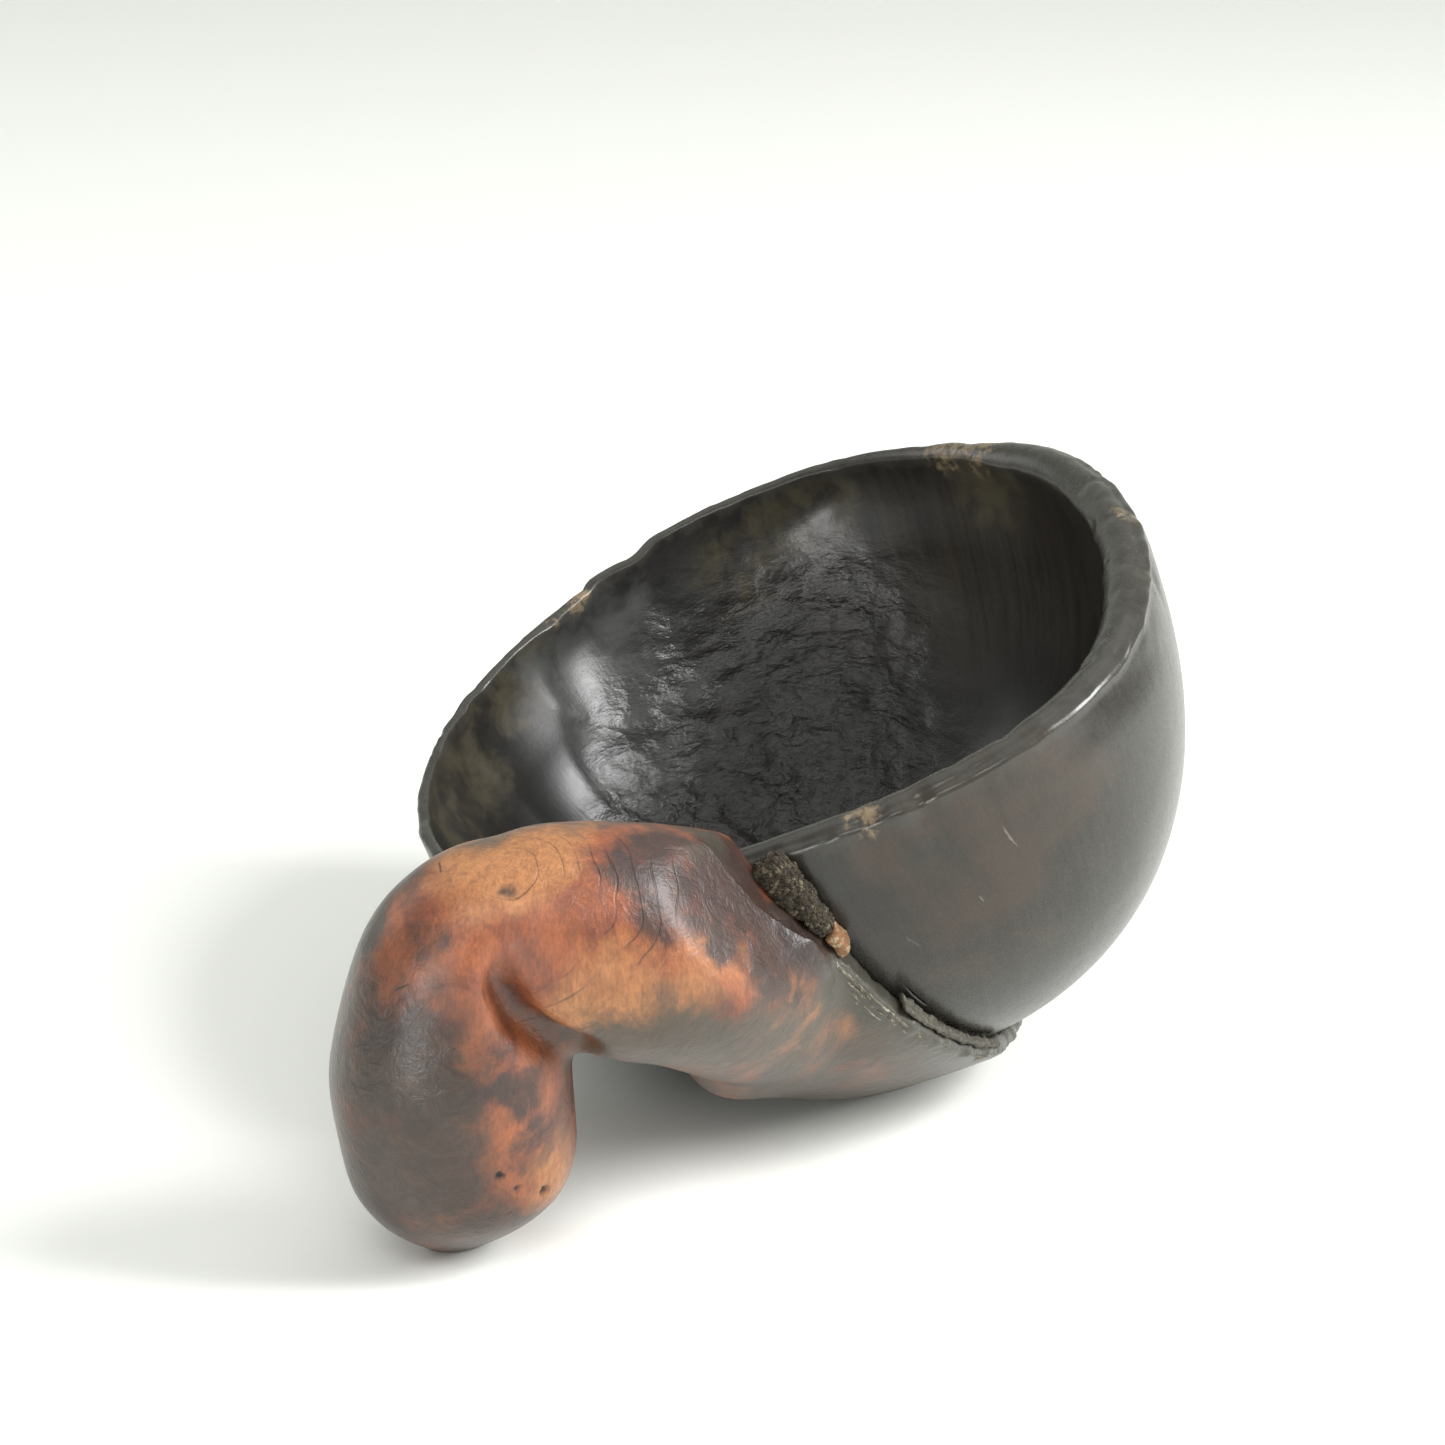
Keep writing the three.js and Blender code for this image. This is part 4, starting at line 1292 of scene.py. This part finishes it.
def shape_tree(name: str, sizes: dict[str, str]) -> tuple:
    """Starts a geometry tree that takes a mesh, some sizes and a finish."""
    inputs = {"Geometry": "Geometry", **sizes, "Finish": "Material"}
    return new_tree(name, inputs, {"Geometry": "Geometry"}, "GeometryNodeTree")


def end_shape(n: Nodes, shape: bpy.types.Node, into: bpy.types.Node,
              out: bpy.types.Node) -> None:
    """Ends a geometry tree: real faces, in the tree's finish."""
    real = n.add("GeometryNodeRealizeInstances", {0: shape.outputs[0]})
    named = n.add("GeometryNodeSetMaterial", {"Geometry": real.outputs[0],
                                              "Material": into.outputs["Finish"]})
    n.put(out.inputs[0], named.outputs[0])


def crumb_tree() -> bpy.types.NodeTree:
    """Scatters small broken lumps over a surface."""
    sizes = {"Density": "Float", "Smallest": "Float", "Largest": "Float", "Seed": "Int"}
    tree, n, into, out = shape_tree("crumbs", sizes)
    spread = n.add("GeometryNodeDistributePointsOnFaces", {
        "Mesh": into.outputs["Geometry"], "Density": into.outputs["Density"],
        "Seed": into.outputs["Seed"]})
    lump = n.add("GeometryNodeMeshIcoSphere", {"Radius": 1.0, "Subdivisions": 2})
    dent = n.add("ShaderNodeTexNoise", {"Scale": 1.6, "Detail": 2.0})
    place = n.add("GeometryNodeInputPosition")
    n.put(dent.inputs["Vector"], place.outputs[0])
    shift = n.vector("SUBTRACT", dent.outputs["Color"], (0.5, 0.5, 0.5))
    shift = n.vector("MULTIPLY", shift, (1.3, 1.3, 1.3))
    broken = n.add("GeometryNodeSetPosition", {"Geometry": lump.outputs["Mesh"], "Offset": shift})
    size = n.add("FunctionNodeRandomValue", data_type="FLOAT")
    n.put(size.inputs[2], into.outputs["Smallest"])
    n.put(size.inputs[3], into.outputs["Largest"])
    n.put(size.inputs["Seed"], into.outputs["Seed"])
    turn = n.add("FunctionNodeRandomValue", data_type="FLOAT_VECTOR")
    turn.inputs[0].default_value = (0, 0, 0)
    turn.inputs[1].default_value = (math.tau, math.tau, math.tau)
    n.put(turn.inputs["Seed"], into.outputs["Seed"])
    laid = n.add("GeometryNodeInstanceOnPoints", {
        "Points": spread.outputs["Points"], "Instance": broken.outputs["Geometry"],
        "Scale": size.outputs[1], "Rotation": turn.outputs[0]})
    end_shape(n, laid, into, out)
    return tree


def fibre_tree() -> bpy.types.NodeTree:
    """Turns guide lines into thin strands with uneven thickness."""
    sizes = {"Step": "Float", "Radius": "Float", "Waver": "Float"}
    tree, n, into, out = shape_tree("fibres", sizes)
    line = n.add("GeometryNodeMeshToCurve", {0: into.outputs["Geometry"]})
    even = n.add("GeometryNodeResampleCurve", {"Curve": line.outputs[0],
                                               "Length": into.outputs["Step"]}, mode="LENGTH")
    place = n.add("GeometryNodeInputPosition")
    shake = n.add("ShaderNodeTexNoise", {"Vector": place.outputs[0], "Scale": 420.0})
    shift = n.vector("SUBTRACT", shake.outputs["Color"], (0.5, 0.5, 0.5))
    shift = n.add("ShaderNodeVectorMath", {0: shift, "Scale": into.outputs["Waver"]},
                  operation="SCALE").outputs["Vector"]
    bent = n.add("GeometryNodeSetPosition", {"Geometry": even.outputs[0], "Offset": shift})
    thick = n.noise(place.outputs[0], 700.0, 2.0)
    thick = n.math("MULTIPLY", n.share(thick, 0.3, 0.7), into.outputs["Radius"])
    thick = n.math("ADD", thick, 0.05 * MM)
    ring = n.add("GeometryNodeCurvePrimitiveCircle", {"Resolution": 5, "Radius": 1.0})
    solid = n.add("GeometryNodeCurveToMesh", {"Curve": bent.outputs[0], "Fill Caps": True,
                                              "Profile Curve": ring.outputs[0]})
    n.put(solid.inputs["Scale"], thick)
    end_shape(n, solid, into, out)
    return tree


def grown(piece: bpy.types.Object, tree: bpy.types.NodeTree, inputs: dict) -> bpy.types.Object:
    """Runs a geometry tree on a piece and keeps the result as its mesh.

    Args:
        piece: the object whose mesh goes into the tree.
        tree: the geometry tree.
        inputs: the tree's inputs by name.

    Returns:
        The same object, with a plain mesh.
    """
    modifier = piece.modifiers.new(tree.name, "NODES")
    modifier.node_group = tree
    for socket in tree.interface.items_tree:
        if socket.in_out == "INPUT" and socket.name in inputs:
            modifier[socket.identifier] = inputs[socket.name]
    return settled(piece)


@dataclass
class SeamDebris:
    """The crumbs and fibres that cling to the seam."""

    wall: Wall
    edge: float = 6.5
    thinning: float = 2.5
    seed: int = 7
    strands: int = 46
    knots: int = 9

    def edge_height(self, down: Array) -> Array:
        """How thick the root is at the seam."""
        return self.edge - self.thinning * smooth(20, 50, down)

    def crumbs(self, under: bpy.types.Object, name: str, density: float,
               finish: bpy.types.Material) -> bpy.types.Object:
        """Scatters crumbs over a bark strip."""
        made = linked(name, under.data.copy())
        inputs = {"Density": density, "Smallest": 0.25 * MM, "Largest": 0.8 * MM,
                  "Seed": self.seed, "Finish": finish}
        return grown(made, crumb_tree(), inputs)

    def fibres(self, finish: bpy.types.Material) -> bpy.types.Object:
        """Lays long strands of bark along the edge of the root."""
        dice = np.random.default_rng(self.seed)
        vertices, edges = [], []
        for _ in range(self.strands):
            start = dice.uniform(-2, 52)
            length = dice.uniform(4, 16)
            away = dice.uniform(3.2, 6.8)
            drift = dice.uniform(-0.8, 0.8)
            lift = dice.uniform(0.1, 0.5)
            down = np.linspace(start, start + length, self.knots)
            flare = 3 * smooth(12, -2, down)
            beside = away + flare + drift * np.linspace(0, 1, self.knots)
            shake = dice.normal(0, 0.12, self.knots)
            height = self.edge_height(down) + lift - 0.25 + shake
            line = self.wall.seam_point(beside, down, height)
            first = len(vertices)
            vertices += line.tolist()
            edges += [(first + k, first + k + 1) for k in range(self.knots - 1)]
        mesh = bpy.data.meshes.new("bark_fibres")
        mesh.from_pydata((np.array(vertices) * MM).tolist(), edges, [])
        made = linked("bark_fibres", mesh)
        inputs = {"Step": 0.8 * MM, "Radius": 0.3 * MM, "Waver": 0.9 * MM, "Finish": finish}
        return grown(made, fibre_tree(), inputs)


@dataclass
class Chip:
    """The orange chip of broken wood stuck in the seam."""

    node: str = "seam_chip"
    voxel: float = 0.35

    def build(self) -> bpy.types.Object:
        """Makes the chip with split, stepped faces."""
        made = remeshed(cad_copy(self.node, "chip_split"), self.voxel)
        at = places(made)
        relaxed(made, np.zeros(len(at)), 2)
        at, out = places(made), outward(made)
        steps = np.round(turbulence(at * np.array([1, 1, 0.5]), 2.6, 2, 24) * 3) / 3
        move_to(made, at + out * (0.45 * steps + 0.35)[:, None])
        return made


# ---------------------------------------------------------------- stage, lights and camera
@dataclass(frozen=True)
class Lamp:
    """One soft box: its name, its place and its width and height in metres, and its watts."""

    name: str
    at: Point
    size: tuple[float, float]
    power: float


@dataclass
class Studio:
    """A pale sweep, soft lights and the camera."""

    centre: Vector
    distance: float = 0.95
    pitch: float = 20.0
    lens: float = 111.24
    sensor: float = 36.0
    aim: Point = (-0.0106, 0.0128, 0.0767)
    room_tint: Colour = (0.97, 0.985, 0.95)
    room_strength: float = 0.42
    lamps: tuple[Lamp, ...] = (
        Lamp("high_right", (1.05, -0.22, 0.8), (0.45, 0.75), 27.0),
        Lamp("overhead", (0.0, 0.35, 1.7), (2.4, 1.8), 10.0),
        Lamp("front_left", (-0.5, -1.08, 0.17), (0.36, 0.34), 4.6),
        Lamp("front_high", (-0.15, -1.15, 1.15), (0.8, 0.5), 6.0),
        Lamp("far_left", (-1.5, 0.6, 0.9), (0.9, 1.0), 5.0),
    )

    def sweep(self) -> bpy.types.Object:
        """A floor that curves up into a backdrop."""
        deep, bend, tall, wide = 1.6, 1.2, 4.0, 5.0
        profile = [(-4.0, 0.0), (deep, 0.0)]
        for k in range(1, 17):
            turn = math.pi / 2 * k / 16
            profile.append((deep + bend * math.sin(turn), bend * (1 - math.cos(turn))))
        profile.append((deep + bend, tall))
        vertices = np.array([(x, y, z) for y, z in profile for x in (-wide, wide)])
        faces = [[2 * k, 2 * k + 1, 2 * k + 3, 2 * k + 2] for k in range(len(profile) - 1)]
        made = mesh_object("sweep", vertices, faces)
        material, n, shader = new_material("pale sweep")
        tint = n.noise(n.here(), 1.5, 2.0)
        n.put(shader.inputs["Base Color"], n.blend(tint, (0.86, 0.875, 0.83), (0.9, 0.91, 0.875)))
        shader.inputs["Roughness"].default_value = 0.8
        shader.inputs["Specular IOR Level"].default_value = 0.2
        made.data.materials.append(material)
        return made

    def light(self, lamp: Lamp) -> None:
        """Hangs one soft box that faces the scoop."""
        data = bpy.data.lights.new(lamp.name, "AREA")
        data.shape = "RECTANGLE"
        data.size, data.size_y = lamp.size
        data.energy = lamp.power
        made = linked(lamp.name, data)
        made.location = lamp.at
        aim = self.centre - Vector(lamp.at)
        made.rotation_euler = aim.to_track_quat("-Z", "Y").to_euler()

    def build(self) -> None:
        """Sets up everything round the scoop."""
        self.sweep()
        for lamp in self.lamps:
            self.light(lamp)
        world = bpy.data.worlds.new("soft room")
        bpy.context.scene.world = world
        world.use_nodes = True
        back = world.node_tree.nodes["Background"]
        back.inputs["Color"].default_value = (*self.room_tint, 1)
        back.inputs["Strength"].default_value = self.room_strength
        data = bpy.data.cameras.new("camera")
        data.sensor_width = self.sensor
        data.lens = self.lens
        camera = linked("camera", data)
        down = math.radians(self.pitch)
        look = Vector((0, math.cos(down), -math.sin(down)))
        camera.location = Vector(self.aim) - look * self.distance
        camera.rotation_euler = look.to_track_quat("-Z", "Y").to_euler()
        bpy.context.scene.camera = camera
        bpy.context.scene.view_settings.view_transform = "Standard"


# ---------------------------------------------------------------- putting it together
def placed_wall() -> Wall:
    """The wall's rule, moved to where the CAD bowl stands."""
    rule = Wall()
    around, below = np.meshgrid(np.linspace(0, 360, 65), np.linspace(0, 90, 17))
    raw = rule.point(around, below, 0.0).reshape(-1, 3)
    low, high = (np.array(corner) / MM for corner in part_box("bowl"))
    middle = (low + high) / 2 - (raw.min(0) + raw.max(0)) / 2
    return replace(rule, middle=(float(middle[0]), float(middle[1])))


def hand_over(piece: bpy.types.Object, slot: Slot, material: bpy.types.Material,
              *nodes: str) -> None:
    """Gives a finished piece its material, its body and the CAD nodes that it stands for."""
    if not piece.data.materials:
        piece.data.materials.append(material)
    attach(piece, "root")
    if nodes:
        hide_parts(*nodes)
    LOG.info("%s: %d faces, %s", piece.name, len(piece.data.polygons), slot.value)


def main() -> None:
    """Builds the scoop and its studio, piece by piece."""
    logging.basicConfig(level=logging.INFO, format="%(name)s %(message)s")
    effects = Effects()
    wall = placed_wall()
    LOG.info("mouth centre %s", wall.origin())
    bark, fibre = BARK.make(effects), FIBRE.make(effects)

    hand_over(Bowl(wall).build(), Slot.BOWL, BowlFinish().make(effects), "bowl")
    hand_over(Handle(wall).build(), Slot.HANDLE, HandleFinish().make(effects), "handle")
    debris = SeamDebris(wall)
    packing = BarkStrip("bark_packing", "bark_crust").build()
    hand_over(packing, Slot.BARK, bark, "bark_packing")
    lip = BarkStrip("bark_lip", "bark_edge", rough=0.3, lift=-0.45).build()
    hand_over(lip, Slot.BARK, WEATHERED.make(effects), "bark_lip")
    hand_over(Chip().build(), Slot.CHIP, CHIP.make(effects), "seam_chip")
    hand_over(debris.crumbs(packing, "crust_crumbs", 2.2e6, bark), Slot.BARK, bark)
    hand_over(debris.fibres(fibre), Slot.BARK, fibre)

    peg = PEG.make(effects)
    for name in ("peg_upper", "peg_lower"):
        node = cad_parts[name]
        node.data.materials.clear()
        node.data.materials.append(peg)
        LOG.info("%s keeps its CAD shape", name)

    low, high = CAD_BOX
    Studio((low + high) / 2).build()


if __name__ == "__main__":
    main()
